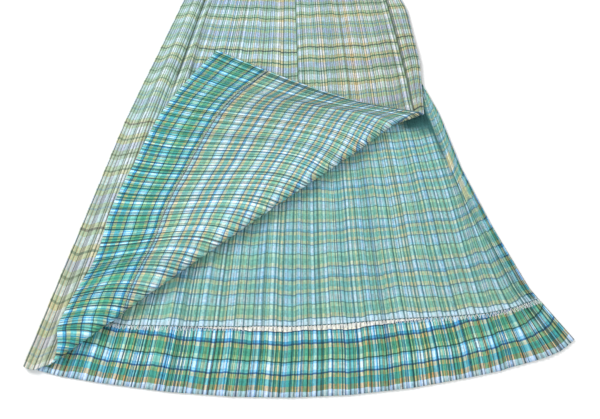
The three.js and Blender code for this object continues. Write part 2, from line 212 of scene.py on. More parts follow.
def add_mesh(name, points, quads, uv=None, valley=None):
    """A mesh object from points in mm and four-sided faces, with an optional UV pair for each point, and
    an optional painted shade for each point, from 0 to 1, which darkens the valleys and troughs."""
    mesh = bpy.data.meshes.new(name)
    mesh.vertices.add(len(points))
    mesh.vertices.foreach_set("co", (points * MM).astype(np.float32).ravel())
    mesh.loops.add(quads.size)
    mesh.loops.foreach_set("vertex_index", quads.astype(np.int32).ravel())
    mesh.polygons.add(len(quads))
    mesh.polygons.foreach_set("loop_start", np.arange(0, quads.size, 4, dtype=np.int32))
    mesh.polygons.foreach_set("loop_total", np.full(len(quads), 4, dtype=np.int32))
    if uv is not None:
        layer = mesh.uv_layers.new(name="cloth")
        layer.data.foreach_set("uv", uv[quads.ravel()].astype(np.float32).ravel())
    # The valley attribute carries the painted shade that the plaid material reads.
    if valley is not None:
        mesh.attributes.new("valley", "FLOAT", "POINT").data.foreach_set("value", valley.astype(np.float32))
    mesh.update(calc_edges=True)
    mesh.validate()
    mesh.polygons.foreach_set("use_smooth", np.ones(len(mesh.polygons), dtype=bool))
    piece = bpy.data.objects.new(name, mesh)
    bpy.context.scene.collection.objects.link(piece)
    return piece


def add_cloth(name, middle, uv, valley):
    """A closed wall: each point of a middle surface moved half a thickness out and half a thickness in,
    with a rim of faces round its edge. The outer face's points come first, then the inner face's."""
    columns, rows = middle.shape[:2]
    half = outward(middle) * CLOTH / 2
    points = np.concatenate([(middle + half).reshape(-1, 3), (middle - half).reshape(-1, 3)])
    count = columns * rows
    top, bottom = quads_of(columns, rows), quads_of(columns, rows, count)[:, ::-1]
    at = np.arange(count).reshape(columns, rows)
    edge = np.concatenate([at[:, 0], at[-1, 1:], at[-2::-1, -1], at[0, -2:0:-1]])
    after = np.roll(edge, -1)
    rim = np.stack([edge, after, after + count, edge + count], axis=-1)
    both = np.tile(uv.reshape(-1, 2), (2, 1))
    # The painted shade is the same on both faces.
    depth = np.tile(np.broadcast_to(valley, (columns, rows)).ravel(), 2)
    piece = add_mesh(name, points, np.concatenate([top, bottom, rim]), both, depth)
    print(name, "has", 2 * len(piece.data.polygons), "triangles")
    return piece


print("each cloth is a wall", CLOTH, "mm through")

# %% [markdown]
# ## Pleats
# Crinkle pleats are pressed by hand in a paper mould or by a machine with knives, so no two are alike:
# each has its own width and depth, and a depth that comes and goes along its length. A pleat is drawn
# with five columns: a sharp valley, a steep side, a round ridge over two columns, and a side again.

# %% Pleat shape
PLEATS = 118
COLUMNS_PER_PLEAT = 5
PLEAT_AT_WAIST = 1.2   # valley to ridge
PLEAT_AT_HEM = 1.9
PLEAT_PROFILE = np.array([0, 0.58, 1, 0.92, 0.5])
# The dark of the valleys is painted shade: this power keeps it near the bottom of a valley, and the darkness
# sets how strong it is, mean, least and most.
VALLEY_POWER = 1.2     # above 1, the dark stays near the bottom of a valley
MEAN_DARKNESS, LEAST_DARKNESS, MOST_DARKNESS = 0.72, 0.12, 1.7
MEAN_DEPTH = 0.74      # of a pleat, as a share of the deepest
DEPTH_CHANGE = 0.16    # from pleat to pleat
DEPTH_SWAY = 0.1       # how far a pleat's depth comes and goes along it
SWAY_LENGTH = 70       # mm of the pleat to a radian of that wave

pleat_number = np.arange(PLEATS)
pleat_width = 1 + wander(pleat_number, (0.24, 2.1, 0), (0.16, 0.7, 1))
pleat_edges = np.concatenate([[0], np.cumsum(pleat_width)]) / pleat_width.sum()
column_number = np.arange(PLEATS * COLUMNS_PER_PLEAT + 1)
SHARE = np.interp(column_number / COLUMNS_PER_PLEAT, np.arange(PLEATS + 1), pleat_edges)
PLEAT_OF = np.minimum(column_number // COLUMNS_PER_PLEAT, PLEATS - 1)
RIDGE = np.append(np.tile(PLEAT_PROFILE, PLEATS), 0)
# Painted shade: each column is darkened towards the bottom of its pleat's valley, more in some pleats than in
# others.
DARKNESS = MEAN_DARKNESS + wander(PLEAT_OF, (0.85, 2.9, 0), (0.35, 1.3, 1))
DARKNESS = np.clip(DARKNESS, LEAST_DARKNESS, MOST_DARKNESS)
PAINTED_VALLEY_SHADE = np.clip((1 - RIDGE) ** VALLEY_POWER * DARKNESS, 0, 1)


def pleat_height(down):
    """How far each column stands above its valley: the profile times an uneven depth, deeper at the hem.
    The depth is a mean with one wave from pleat to pleat and one along each pleat."""
    k = PLEAT_OF[:, None]
    uneven = MEAN_DEPTH + DEPTH_CHANGE * np.sin(1.7 * k + np.sin(0.45 * k))
    uneven = uneven + DEPTH_SWAY * np.sin(down / SWAY_LENGTH + 2.6 * k)
    depth = mix(PLEAT_AT_WAIST, PLEAT_AT_HEM, fade(down, BAND_HEIGHT, LENGTH))
    return RIDGE[:, None] * uneven * depth


def along_folds(folds, share, down, size):
    """Soft ridges, or painted shade along troughs. Each is a bell across the share, round a line that runs
    from one share to another between two places down the skirt, and it rises and dies away over its last
    quarters."""
    total = 0
    for top, bottom, start, end, width, high in zip(*folds.values()):
        line = mix(top, bottom, np.clip((down - start) / (end - start), 0, 1))
        soft = (end - start) / 4
        stretch = fade(down, start, start + soft) * (1 - fade(down, end - soft, end))
        total = total + high * size * np.exp(-((share - line) / width) ** 2) * stretch
    return total


def shade(valley, folds, share, down):
    """How dark the painted shade at each point is: its pleat's own valley shade, or the painted shade of a
    trough if that is darker.
    """
    return np.clip(np.maximum(valley[:, None], along_folds(folds, share, down, 1)), 0, 1)


print(PLEATS, "pleats on", len(SHARE), "columns")
print("the widest pleat is", round(pleat_width.max() / pleat_width.min(), 1), "times the narrowest")

# %% [markdown]
# ## Plaid coordinates
# The plaid is in the cloth before the cloth is pleated, so its stripes run down the pleats and its bands
# run across them. The UV map counts repeats: U from the left side seam and V from the hem, negative up
# the panel and positive up the turn-up, as the cloth goes on round the hem fold. The flare stretches
# the pattern, so a repeat is more than twice as long at the hem as at the hip. Each pleat hides a
# little cloth and rides a little up or down, so U and V get a small step at each pleat.

# %% Plaid coordinates
WARP_REPEATS = 36.3        # across one panel
WEFT_REPEATS = chart("part repeats", [
    (0, -26.6), (0.12, -21.45), (0.228, -17.45), (0.316, -14.45), (0.422, -11.45), (0.54, -8.45),
    (0.682, -5.45), (0.847, -2.45), (1, 0)])
TURN_UP_REPEATS = 2.44     # in the front's turned-up hem
TURN_UP_PITCH = 46         # mm of the back's turn-up to a repeat
SHOWS_AT_WAIST = 0.38      # the share of a pleat's cloth that shows there, and at the hem it all does
RIDGE_COLUMN = 3           # of a pleat's columns, the one that its cloth is counted from
BAND_WAVES = ((0.075, 41, 0.9, 0), (0.05, 97, -0.5, 1))   # size, pace across, pace along V, and start


def plaid_map(v, showing, shuffle):
    """U is the share across times the warp repeats. A pleat shows only a share of its cloth round its
    ridge, more of it towards the hem. Steps from pleat to pleat go onto U, and steps and two slanting
    waves, times shuffle, go onto V. All of them are in repeats."""
    k = PLEAT_OF[:, None] * np.ones_like(v)
    share = SHARE[:, None]
    ridge_column = np.minimum(PLEAT_OF * COLUMNS_PER_PLEAT + RIDGE_COLUMN, len(SHARE) - 1)
    ridge_at = SHARE[ridge_column][:, None]
    hidden = wander(k, (0.09, 3.3, 0), (0.06, 1.9, 2))
    wave = sum(size * np.sin(across * share + along * v + start) for size, across, along, start in BAND_WAVES)
    ride = (wave + wander(k, (0.03, 2.3, 0))) * shuffle
    u = (ridge_at + (share - ridge_at) * showing) * WARP_REPEATS + hidden
    return np.stack(np.broadcast_arrays(u, v + ride), axis=-1)


def showing_at(part):
    """The share of a pleat's cloth that shows, for parts of the way down a panel."""
    return mix(SHOWS_AT_WAIST, 1, part)


def repeats_at(part):
    """Weft repeats above the hem for parts of the way down a panel."""
    return look(WEFT_REPEATS, "part", part, "repeats")


print(WARP_REPEATS, "repeats across a panel, and", -WEFT_REPEATS["repeats"][0], "down it")

# %% [markdown]
# ## Back panel
# The back lies with its inside up. Its left edge is the closed side seam, its right edge the slit. Its
# pleats stand on the floor at their valleys. Near the slit some pleats have sprung up into deeper folds
# that run beside the edge; their relief shades a little, and the dark lines along that edge are painted
# shade in the troughs beside them.

# %% Back panel: its lines and folds
BACK_KNEE = 0.885      # to the right of this share the pleats open out towards the slit edge
KNEE = chart("down x", [
    (35, 98), (268, 204), (371, 232), (455, 255), (537, 275), (617, 297), (695, 320), (722, 325)])
# A fold's share across at its top and at its bottom, how far down it starts and ends, the width of its
# bell as a share across, and how high it stands in mm or how dark its painted shade is.
BACK_RIDGES = chart("top bottom start end width high", [
    (0.90, 0.975, 250, 640, 0.012, 2.4), (0.985, 0.99, 150, 700, 0.01, 2.2),
    (0.87, 0.905, 260, 700, 0.008, 1.5), (0.935, 0.94, 430, 800, 0.01, 1.2),
    (0.80, 0.82, 300, 700, 0.012, 0.7), (0.62, 0.64, 330, 760, 0.016, 0.6),
    (0.47, 0.46, 400, 730, 0.02, 0.5), (0.30, 0.28, 420, 720, 0.02, 0.4)])
# Painted shade: dark lines in the troughs beside the folds and between pleats, and four wide rows that paint
# the shadow in the hollow under the end of the front's fold at the slit.
BACK_PAINTED_SHADE = chart("top bottom start end width dark", [
    (0.867, 0.884, 300, 400, 0.004, 1.0), (0.885, 0.955, 370, 540, 0.003, 0.9),
    (0.955, 0.957, 480, 680, 0.003, 0.9), (0.90, 0.915, 300, 560, 0.003, 0.8),
    (0.92, 0.925, 520, 700, 0.003, 0.7), (0.966, 0.967, 540, 740, 0.003, 0.9),
    (0.985, 0.985, 250, 700, 0.003, 0.6), (0.86, 0.868, 280, 350, 0.011, 1.1),
    (0.843, 0.846, 280, 350, 0.012, 1.1), (0.823, 0.823, 280, 348, 0.014, 1.1),
    (0.80, 0.80, 280, 346, 0.016, 0.85),
    (0.835, 0.84, 300, 640, 0.002, 0.5), (0.74, 0.745, 330, 700, 0.002, 0.5),
    (0.66, 0.665, 330, 740, 0.002, 0.55), (0.585, 0.585, 380, 760, 0.002, 0.5),
    (0.52, 0.52, 400, 760, 0.002, 0.45), (0.43, 0.43, 470, 760, 0.002, 0.5),
    (0.35, 0.35, 520, 760, 0.002, 0.45), (0.27, 0.27, 560, 760, 0.002, 0.5)])
print("the back has", len(BACK_RIDGES["top"]), "raised folds and", len(BACK_PAINTED_SHADE["top"]), "dark lines")

# %% Back panel: its surface
EDGE_TUCK = 1.3        # the back's closed edges stop just inside the front's
BACK_OPENS = (225, 300)    # how far down the right edge leaves the front's, where the slit starts
FLOOR_CLEAR = 0.05     # under the valleys
VALLEY_LIFT = 0.35     # a fold lifts a valley by this share of what it lifts a ridge


def back_down(part):
    """How far down each point lies: the straight line from the band to its own column's hem."""
    hem = look(BACK_HEM, "share", SHARE[:, None], "down")
    return mix(BAND_HEIGHT + GAP, hem, part)


def back_surface(part, lift):
    """Points of the back by share of the way across and part of the way from the waistband to the hem:
    straight lines from the left edge over the knee line to the right edge, at the height of the pleats
    and folds above the floor, plus a lift."""
    share = SHARE[:, None]
    down = back_down(part)
    left = look(SIDES, "down", down, "left") + EDGE_TUCK
    right = look(SIDES, "down", down, "back") - EDGE_TUCK * (1 - fade(down, *BACK_OPENS))
    knee = look(KNEE, "down", down, "x")
    ridges = along_folds(BACK_RIDGES, share, down, mix(VALLEY_LIFT, 1, RIDGE[:, None]))
    x = between(share, (0, BACK_KNEE, 1), (left, knee, right))
    return on_floor(x, down, CLOTH / 2 + FLOOR_CLEAR + pleat_height(down) + ridges + lift)


def hem_part(along):
    """The part down the back for a share along the turn-up: from the hem fold (0) to its upper edge (1)."""
    hem = look(BACK_HEM, "share", SHARE[:, None], "down")
    depth = look(BACK_TURN_UP, "share", SHARE[:, None], "depth")
    return 1 - along * depth / (hem - BAND_HEIGHT)


edge_parts = hem_part(1)
print("the turn-up ends", round(edge_parts.min(), 2), "to", round(edge_parts.max(), 2), "of the way down")

# %% Back panel: its cloth
BACK_ROWS = 65
BACK_SHIFT = 0.515     # in repeats: the back was cut this much further along the pattern than the front
LEVEL_PART = 0.55      # the part of the way down where the bands of the plaid start to swing
EDGE_PART = 0.851      # the part of the pattern that lies along the turn-up's edge
BACK_SHUFFLE = 0.5


def back_map(part):
    """The pattern on the back. Its bands swing round, from level ones to ones beside the turn-up's edge."""
    edge = hem_part(1)
    level = part + (EDGE_PART - edge) * fade(part, LEVEL_PART, edge)
    return plaid_map(repeats_at(level) + BACK_SHIFT, showing_at(part), BACK_SHUFFLE)


back_part = np.linspace(0, 1, BACK_ROWS)[None, :] * np.ones((len(SHARE), 1))
back_shade = shade(PAINTED_VALLEY_SHADE, BACK_PAINTED_SHADE, SHARE[:, None], back_down(back_part))
back_cloth = add_cloth("back_cloth", back_surface(back_part, 0), back_map(back_part), back_shade)

# %% [markdown]
# ## Turned-up hem and slit turning of the back
# The hem is the panel's own cloth folded up inside, with an overlocked edge. It follows the pleats, so
# it is worked out from the panel's own surface, lifted by one layer.

# %% Back hem
HEM_ROWS = 17
HEM_START = 2          # columns that the left side seam covers
ROUND_THE_FOLD = 0.1   # repeats that go round the hem fold
HEM_SHUFFLE = 0.3

hem_along = np.linspace(1, 0, HEM_ROWS)[None, :] * np.ones((len(SHARE), 1))
back_hem_points = back_surface(hem_part(hem_along), LAYER)
turn_up_depth = look(BACK_TURN_UP, "share", SHARE[:, None], "depth")
back_hem_map = plaid_map(
    ROUND_THE_FOLD + hem_along * turn_up_depth / TURN_UP_PITCH, showing=1, shuffle=HEM_SHUFFLE)
back_hem_shade = shade(PAINTED_VALLEY_SHADE, BACK_PAINTED_SHADE, SHARE[:, None], back_down(hem_part(hem_along)))
back_hem_cloth = add_cloth(
    "back_hem_cloth", back_hem_points[HEM_START:], back_hem_map[HEM_START:], back_hem_shade[HEM_START:])

# %% Back slit turning
SLIT_COLUMNS = 13      # columns under the narrow turning along the slit
TURNING_TOP = 0.3      # the part of the way down where the turning starts
TURNING_END = 1.06     # it ends short of the turn-up, at this many times the turn-up's depth
TURNING_ROWS = 30

turning_part = mix(TURNING_TOP, hem_part(TURNING_END), np.linspace(0, 1, TURNING_ROWS)[None, :])
turning_points = back_surface(turning_part, LAYER)
turning_map = back_map(turning_part)
turning_shade = shade(PAINTED_VALLEY_SHADE, BACK_PAINTED_SHADE, SHARE[:, None], back_down(turning_part))
back_turning_cloth = add_cloth(
    "back_turning_cloth", turning_points[-SLIT_COLUMNS:], turning_map[-SLIT_COLUMNS:],
    turning_shade[-SLIT_COLUMNS:])

# %% [markdown]
# ## Front panel, turned back over itself
# The front starts flat, rolls over a soft fold, and lies back on itself inside out. Each column is one
# path: straight down the skirt, half a turn of a helix round the roll, and a curve that leaves the roll
# as a mirror image would and ends at the turned hem edge. Working out the path as a formula keeps the
# cloth's length true, and the pattern follows it round the fold.

# %% Front: its lines and folds
CREASE_SHARE = 0.518   # a pressed crease down the middle of the front
MARGIN_SHARE = 0.935   # here a fold hides a little of the front along its right edge
LINES = chart("down crease margin", [
    (35, -10, 128), (107, -7.6, 144.6), (143, -6.3, 153.1), (179, -5, 161.4), (215, -3.7, 168.9),
    (250, -2.5, 176.3), (286, -1.2, 182), (306, -0.5, 186.3), (768, 16, 282)])
FRONT_RIDGES = chart("top bottom start end width high", [
    (0.075, 0.085, 20, 330, 0.018, 3.2), (0.125, 0.145, 60, 300, 0.012, 1.5),
    (0.5, 0.5, 50, 260, 0.1, 1.3), (0.972, 0.975, 60, 420, 0.02, 3.8), (0.91, 0.915, 50, 330, 0.012, 1.4),
    (0.66, 0.68, 20, 300, 0.014, 0.9), (0.36, 0.34, 20, 320, 0.014, 0.9), (0.24, 0.23, 90, 420, 0.012, 0.8),
    (0.05, 0.055, 300, 700, 0.012, 0.9), (0.13, 0.12, 380, 720, 0.012, 0.8)])
# Painted shade: dark lines along the front's folds, its middle crease, the fold at its right margin, and
# between pleats.
FRONT_PAINTED_SHADE = chart("top bottom start end width dark", [
    (0.097, 0.112, 10, 300, 0.004, 1.0), (0.126, 0.16, 95, 300, 0.003, 0.8),
    (0.935, 0.937, 10, 400, 0.004, 0.85), (0.518, 0.518, 10, 460, 0.0022, 0.7),
    (0.965, 0.965, 130, 330, 0.003, 0.7), (0.905, 0.9, 120, 330, 0.0025, 0.6),
    (0.30, 0.30, 10, 300, 0.002, 0.5), (0.41, 0.41, 10, 400, 0.002, 0.45), (0.215, 0.21, 10, 300, 0.002, 0.5),
    (0.62, 0.62, 10, 400, 0.002, 0.5), (0.71, 0.71, 60, 400, 0.002, 0.55), (0.79, 0.79, 10, 400, 0.002, 0.5),
    (0.86, 0.86, 60, 400, 0.002, 0.6), (0.03, 0.035, 330, 740, 0.003, 0.6),
    (0.075, 0.08, 380, 740, 0.0025, 0.5)])
FRONT_SLIPS = chart("top bottom start end width repeats", [
    (0.055, 0.06, 20, 330, 0.018, 0.2), (0.1, 0.105, 20, 330, 0.01, -0.25),
    (0.128, 0.14, 60, 330, 0.01, 0.2)])
print("the front has", len(FRONT_RIDGES["top"]), "raised folds and", len(FRONT_PAINTED_SHADE["top"]), "dark lines")

# %% Front: flat part
FRONT_REST = 4.95      # middle of the front above the floor, over the back
HEM_REST = 8.35        # the same over both turned-up hems
RISE_FROM, RISE_TO = 325, 630
FRONT_OPENS = (150, 205)   # how far down the right edge stops being closed and round
SIDE_INSET = 3         # the radius of the closed edges, across
SIDE_SHARE = 0.01      # the share of the cloth that goes into each
SIDE_FOOT = 1          # how far above the floor they end


def front_rest(share, down):
    """Height of the front's middle surface: a straight rise over the hems, plus its largest folds."""
    rise = np.clip((down - RISE_FROM) / (RISE_TO - RISE_FROM), 0, 1)
    return mix(FRONT_REST, HEM_REST, rise) + along_folds(FRONT_RIDGES, share, down, 1)


def front_lines(down):
    """Shares whose places across the front are known, and those places: edges, crease and margin."""
    left, right = look(SIDES, "down", down, "left"), look(SIDES, "down", down, "front")
    shares = (SIDE_SHARE, CREASE_SHARE, MARGIN_SHARE, 1 - SIDE_SHARE)
    places = (left + SIDE_INSET, look(LINES, "down", down, "crease"), look(LINES, "down", down, "margin"),
              right - SIDE_INSET)
    return shares, places


def flat_front(share, down):
    """Places across and above the floor of the front's middle surface, where it isn't turned back:
    straight lines between the known places, and quarter circles down towards the floor at its closed
    edges. The right edge is flat where it is open."""
    left, right = look(SIDES, "down", down, "left"), look(SIDES, "down", down, "front")
    side = np.minimum(share, 1 - share) / SIDE_SHARE
    angle = np.clip(side, 0, 1) * math.pi / 2
    inset = SIDE_INSET * (1 - np.cos(angle))
    middle = between(share, *front_lines(down))
    x = np.where(side >= 1, middle, np.where(share < 0.5, left + inset, right - inset))
    rest = front_rest(share, down)
    closed = np.where(share < 0.5, 1, 1 - fade(down, *FRONT_OPENS))
    z = mix(rest, mix(SIDE_FOOT, rest, np.sin(angle)), closed)
    return x, z


print("the front lies", FRONT_REST, "mm above the floor, and", HEM_REST, "mm over the hems")

# %% Front: the turned hem edge
TURNED_HEM = chart("x down", [
    (-382, 716), (-373, 700), (-375, 667), (-353, 614), (-320, 549), (-300, 472), (-268, 399), (-231, 318),
    (-185, 253), (-137, 200)])
CURVE_POINTS = 600


def turned_hem(share):
    """The turned hem edge by share of its length: a Catmull-Rom curve, which passes through each row of
    its chart in the direction from the row before to the row after."""
    rows = np.stack([TURNED_HEM["x"], TURNED_HEM["down"]], axis=-1)
    padded = np.concatenate([rows[:1], rows, rows[-1:]])
    t = np.linspace(0, len(rows) - 1, CURVE_POINTS)
    k = np.minimum(t.astype(int), len(rows) - 2)
    t = (t - k)[:, None]
    before, start, end, after = padded[k], padded[k + 1], padded[k + 2], padded[k + 3]
    leave, arrive = (end - before) / 2, (after - start) / 2
    curve = (2 * start - 2 * end + leave + arrive) * t ** 3
    curve += (3 * end - 3 * start - 2 * leave - arrive) * t ** 2 + leave * t + start
    length = np.concatenate([[0], np.cumsum(np.hypot(*np.diff(curve, axis=0).T))])
    at = share * length[-1]
    return np.stack([np.interp(at, length, curve[:, 0]), np.interp(at, length, curve[:, 1])], axis=-1)


print("the turned hem edge's middle is at", turned_hem(np.array([0.5])).round()[0], "across and down")

# %% Front: the fold
FOLD = chart("x down", [
    (-480, 787), (-364, 704), (-249, 620), (-120, 526), (0, 440), (92, 376), (156, 327), (210, 308),
    (330, 240)])
FOLD_ANGLE = math.radians(35.3)
ALONG = np.array([math.cos(FOLD_ANGLE), -math.sin(FOLD_ANGLE)])   # in (x, down)
ACROSS = np.array([math.sin(FOLD_ANGLE), math.cos(FOLD_ANGLE)])
FOLD_START = 0.048     # to the left of this share no cloth is turned back
ROLL_AT_HEM, ROLL_AT_SLIT, ROLL_FULLNESS = 3.5, 5, 3.5
PAST_HEM = 60          # how far past the hem the fold is looked for
HALVINGS = 40


def roll_radius(turned):
    """The radius of the fold's soft roll: a straight line from the hem to the slit, plus half a sine
    wave, so it is fullest midway."""
    return mix(ROLL_AT_HEM, ROLL_AT_SLIT, turned) + ROLL_FULLNESS * np.sin(math.pi * turned)


def roll_start(share, radius):
    """How far down each column starts to roll, by halving the interval in which it meets the fold."""
    high, low = np.full_like(share, BAND_HEIGHT), np.full_like(share, LENGTH + PAST_HEM)
    for _ in range(HALVINGS):
        down = (high + low) / 2
        x = flat_front(share, down)[0] + ACROSS[0] * radius
        before = down + ACROSS[1] * radius < look(FOLD, "x", x, "down")
        high, low = np.where(before, down, high), np.where(before, low, down)
    return high


TURNED = np.clip((SHARE - FOLD_START) / (1 - FOLD_START), 0, 1)   # 0 at the hem, 1 at the slit
RADIUS = roll_radius(TURNED)
START = roll_start(SHARE, RADIUS)
print("the roll's radius is", round(RADIUS.min(), 1), "to", round(RADIUS.max(), 1), "mm")

# %% Front: how each column meets the fold
BACK_STEP = 20         # how far back a column's direction is taken from

START_X, START_Z = flat_front(SHARE, START)
before_x = flat_front(SHARE, START - BACK_STEP)[0]
RUN = np.stack([START_X - before_x, np.full_like(START, BACK_STEP)], axis=-1)
RUN /= np.linalg.norm(RUN, axis=-1, keepdims=True)     # the direction in which it arrives
ORIGIN = np.stack([START_X, START], axis=-1)
SLIDE = ALONG * (RUN @ ALONG)[:, None]                 # how it moves along the fold
ARC = math.pi * RADIUS / (RUN @ ACROSS)                # cloth that half a turn takes
REMAINING = look(FRONT_HEM, "share", SHARE, "down") - START   # cloth from the roll's start to the hem
TOP = BAND_HEIGHT + GAP - START                        # the waistband, as a length back from there
print("the fold takes up to", round(ARC.max(), 1), "mm of cloth")
print("the longest column has", round(REMAINING.max()), "mm of cloth after the roll's start")

# %% Front: where the turned cloth goes
TURNED_REST = 3.9      # between the front's middle surface and the turned cloth's, one on the other
# The slope in degrees of the turned pleats, where they leave the fold and where they reach the hem.
TURNED_PLEATS = chart("turned fold hem", [
    (0, 8, 0), (0.15, 12, 15), (0.23, 18, 14), (0.32, 20, 0), (0.47, 20, -11), (0.6, 36, -13),
    (0.75, 32, -15), (0.84, 24, -23), (0.9, 14, -24), (1, 8, -24)])
HEM_DRIFT, HEM_DRIFT_POWER = 0.36, 1.5    # the pleats crowd together along the turned hem
FULLY_TURNED = 60      # with this much cloth past the roll, a column reaches the turned hem's chart
FOLD_PULL, HEM_PULL = 0.3, 0.38           # the lengths of the curve's handles, as shares of its reach
SETTLE = 130           # the turned cloth comes down from the roll over this length


def rest_under_turned(x, down):
    """Height of the turned cloth's middle surface where it lies on the front."""
    shares, places = front_lines(down)
    return TURNED_REST + front_rest(between(x, places, shares), down)


def bezier(a, b, c, d, t):
    """A cubic curve from a to d that leaves a towards b and reaches d from c."""
    return a * (1 - t) ** 3 + 3 * b * t * (1 - t) ** 2 + 3 * c * t * t * (1 - t) + d * t ** 3


def heading(name, sign):
    """Unit directions in (x, down) for an angle column of the turned pleats' chart."""
    angle = np.radians(look(TURNED_PLEATS, "turned", TURNED, name))
    return np.stack([sign * np.cos(angle), -np.sin(angle)], axis=-1)


PAST_ROLL = REMAINING - ARC
LEAVE = ORIGIN + SLIDE * ARC[:, None]                  # where each column leaves the roll
mirrored = LEAVE + (SLIDE - ACROSS * (RUN @ ACROSS)[:, None]) * PAST_ROLL[:, None]
charted = turned_hem(TURNED + HEM_DRIFT * TURNED ** HEM_DRIFT_POWER * (1 - TURNED))
END = mix(mirrored, charted, fade(PAST_ROLL, 0, FULLY_TURNED)[:, None])
REACH = np.linalg.norm(END - LEAVE, axis=-1)
FROM_FOLD = LEAVE + heading("fold", -1) * (FOLD_PULL * REACH)[:, None]
FROM_HEM = END + heading("hem", 1) * (HEM_PULL * REACH)[:, None]
ROLL_LIFT = START_Z + 2 * RADIUS - rest_under_turned(LEAVE[:, 0], LEAVE[:, 1])
print("the turned cloth reaches up to", round(REACH.max()), "mm from the fold")

# %% Front: one path for each column


def rolled_path(s):
    """Round the roll: a helix, which is half a circle across the fold and a steady slide along it."""
    angle = math.pi * np.clip(s / ARC[:, None], 0, 1)
    place = ORIGIN[:, None] + SLIDE[:, None] * s[..., None]
    place = place + ACROSS * (RADIUS[:, None] * np.sin(angle))[..., None]
    return on_floor(place[..., 0], place[..., 1], START_Z[:, None] + RADIUS[:, None] * (1 - np.cos(angle)))


def turned_path(s):
    """Back over the front: a cubic curve from the roll to the turned hem edge, which comes down from the
    roll's height to lie on the front."""
    t = np.clip((s - ARC[:, None]) / np.where(np.abs(PAST_ROLL) < 1, 1, PAST_ROLL)[:, None], 0, 1)
    p = bezier(LEAVE[:, None], FROM_FOLD[:, None], FROM_HEM[:, None], END[:, None], t[..., None])
    settled = fade(t * REACH[:, None], 0, SETTLE)
    height = rest_under_turned(p[..., 0], p[..., 1]) + ROLL_LIFT[:, None] * (1 - settled)
    return on_floor(p[..., 0], p[..., 1], height)


def front_path(s):
    """The front's middle surface a length s of cloth past the start of each column's roll: flat up to 0,
    then round the roll, then turned back."""
    down = START[:, None] + np.minimum(s, 0)
    flat_x, flat_z = flat_front(SHARE[:, None], down)
    flat = on_floor(flat_x, down, flat_z)
    stretch = np.where(s <= 0, 0, np.where(s <= ARC[:, None], 1, 2))[..., None]
    return np.choose(stretch, [flat, rolled_path(s), turned_path(s)])


fold_top = front_path(ARC[:, None])[..., 2].max()
print("the top of the fold is", round(fold_top, 1), "mm above the floor")

# %% Front: its surface
FLAT_ROWS, ROLL_ROWS, TURNED_ROWS = 32, 10, 34
BUNCH = 60             # rows bunch up over this much cloth before the hem
BARELY, CLEARLY = 5, 45    # cloth past the start of the roll, for bunched and for full rows
MEAN_PLEAT = 0.5 * mix(PLEAT_AT_WAIST, PLEAT_AT_HEM, 0.5)


def front_rows():
    """Lengths s of the grid's rows: evenly down the flat part, round the roll and along the turned part.
    Where hardly any cloth is turned back, the roll's rows bunch up at the hem instead."""
    roll = np.linspace(0, 1, ROLL_ROWS + 1)
    rest = np.linspace(0, 1, TURNED_ROWS + 1)[1:]
    full = np.concatenate([roll * ARC[:, None], ARC[:, None] + rest * PAST_ROLL[:, None]], axis=1)
    bunched = REMAINING[:, None] - BUNCH + BUNCH * np.linspace(0, 1, full.shape[1])
    last = mix(bunched, full, fade(REMAINING, BARELY, CLEARLY)[:, None])
    flat = mix(TOP[:, None], last[:, :1], np.linspace(0, 1, FLAT_ROWS)[:-1])
    return np.concatenate([flat, last], axis=1)


def front_surface(s, lift):
    """The front's middle surface with its pleats, which fade out at its sides: each point is moved along
    its outward direction by its pleat's height, less the mean, plus a lift."""
    middle = front_path(s)
    side = np.clip(np.minimum(SHARE, 1 - SHARE) / SIDE_SHARE, 0, 1)[:, None]
    down = START[:, None] + s
    pleat = (pleat_height(down) - MEAN_PLEAT) * side
    return middle + outward(middle) * (pleat + lift)[..., None]


rows_of_front = front_rows()
print("the front's grid is", len(SHARE), "columns by", rows_of_front.shape[1], "rows")

# %% Front: its cloth
CREASE_STEP = 0.42     # in repeats: how far the bands jump at the crease and at the margin
CREASE_WIDTH = 0.004   # half the share over which they jump
FLAT_SHUFFLE, TURNED_SHUFFLE = 0.55, 0.15


def front_map(s):
    """The pattern at lengths s. On the flat part its bands slip beside the folds and step at the middle
    crease and at the margin, and round the roll the steps and most of the shuffle die away."""
    part = (s - TOP[:, None]) / (REMAINING - TOP)[:, None]
    flat = 1 - fade(s, 0, ARC[:, None])
    steps = sum(fade(SHARE, at - CREASE_WIDTH, at + CREASE_WIDTH) for at in (CREASE_SHARE, MARGIN_SHARE))
    slips = along_folds(FRONT_SLIPS, SHARE[:, None], START[:, None] + s, 1)
    v = repeats_at(part) + CREASE_STEP * steps[:, None] * flat + slips
    return plaid_map(v, showing_at(part), mix(TURNED_SHUFFLE, FLAT_SHUFFLE, flat))


front_shade = shade(PAINTED_VALLEY_SHADE, FRONT_PAINTED_SHADE, SHARE[:, None], START[:, None] + rows_of_front)
front_cloth = add_cloth("front_cloth", front_surface(rows_of_front, 0), front_map(rows_of_front), front_shade)

# %% Front: turned-up hem
FRONT_HEM_ROWS = 38
SIDE_COLUMNS = 8       # columns at the left that are too narrow for a turn-up
HEM_SHOWING = 0.95     # the share of a pleat's cloth that shows there
front_hem_along = np.linspace(1, 0, FRONT_HEM_ROWS)[None, :] * np.ones((len(SHARE), 1))
front_hem_points = front_surface(REMAINING[:, None] - FRONT_TURN_UP * front_hem_along, -LAYER)
front_hem_map = plaid_map(front_hem_along * TURN_UP_REPEATS, HEM_SHOWING, TURNED_SHUFFLE)
front_hem_cloth = add_cloth(
    "front_hem_cloth", front_hem_points[SIDE_COLUMNS:], front_hem_map[SIDE_COLUMNS:],
    PAINTED_VALLEY_SHADE[SIDE_COLUMNS:, None])

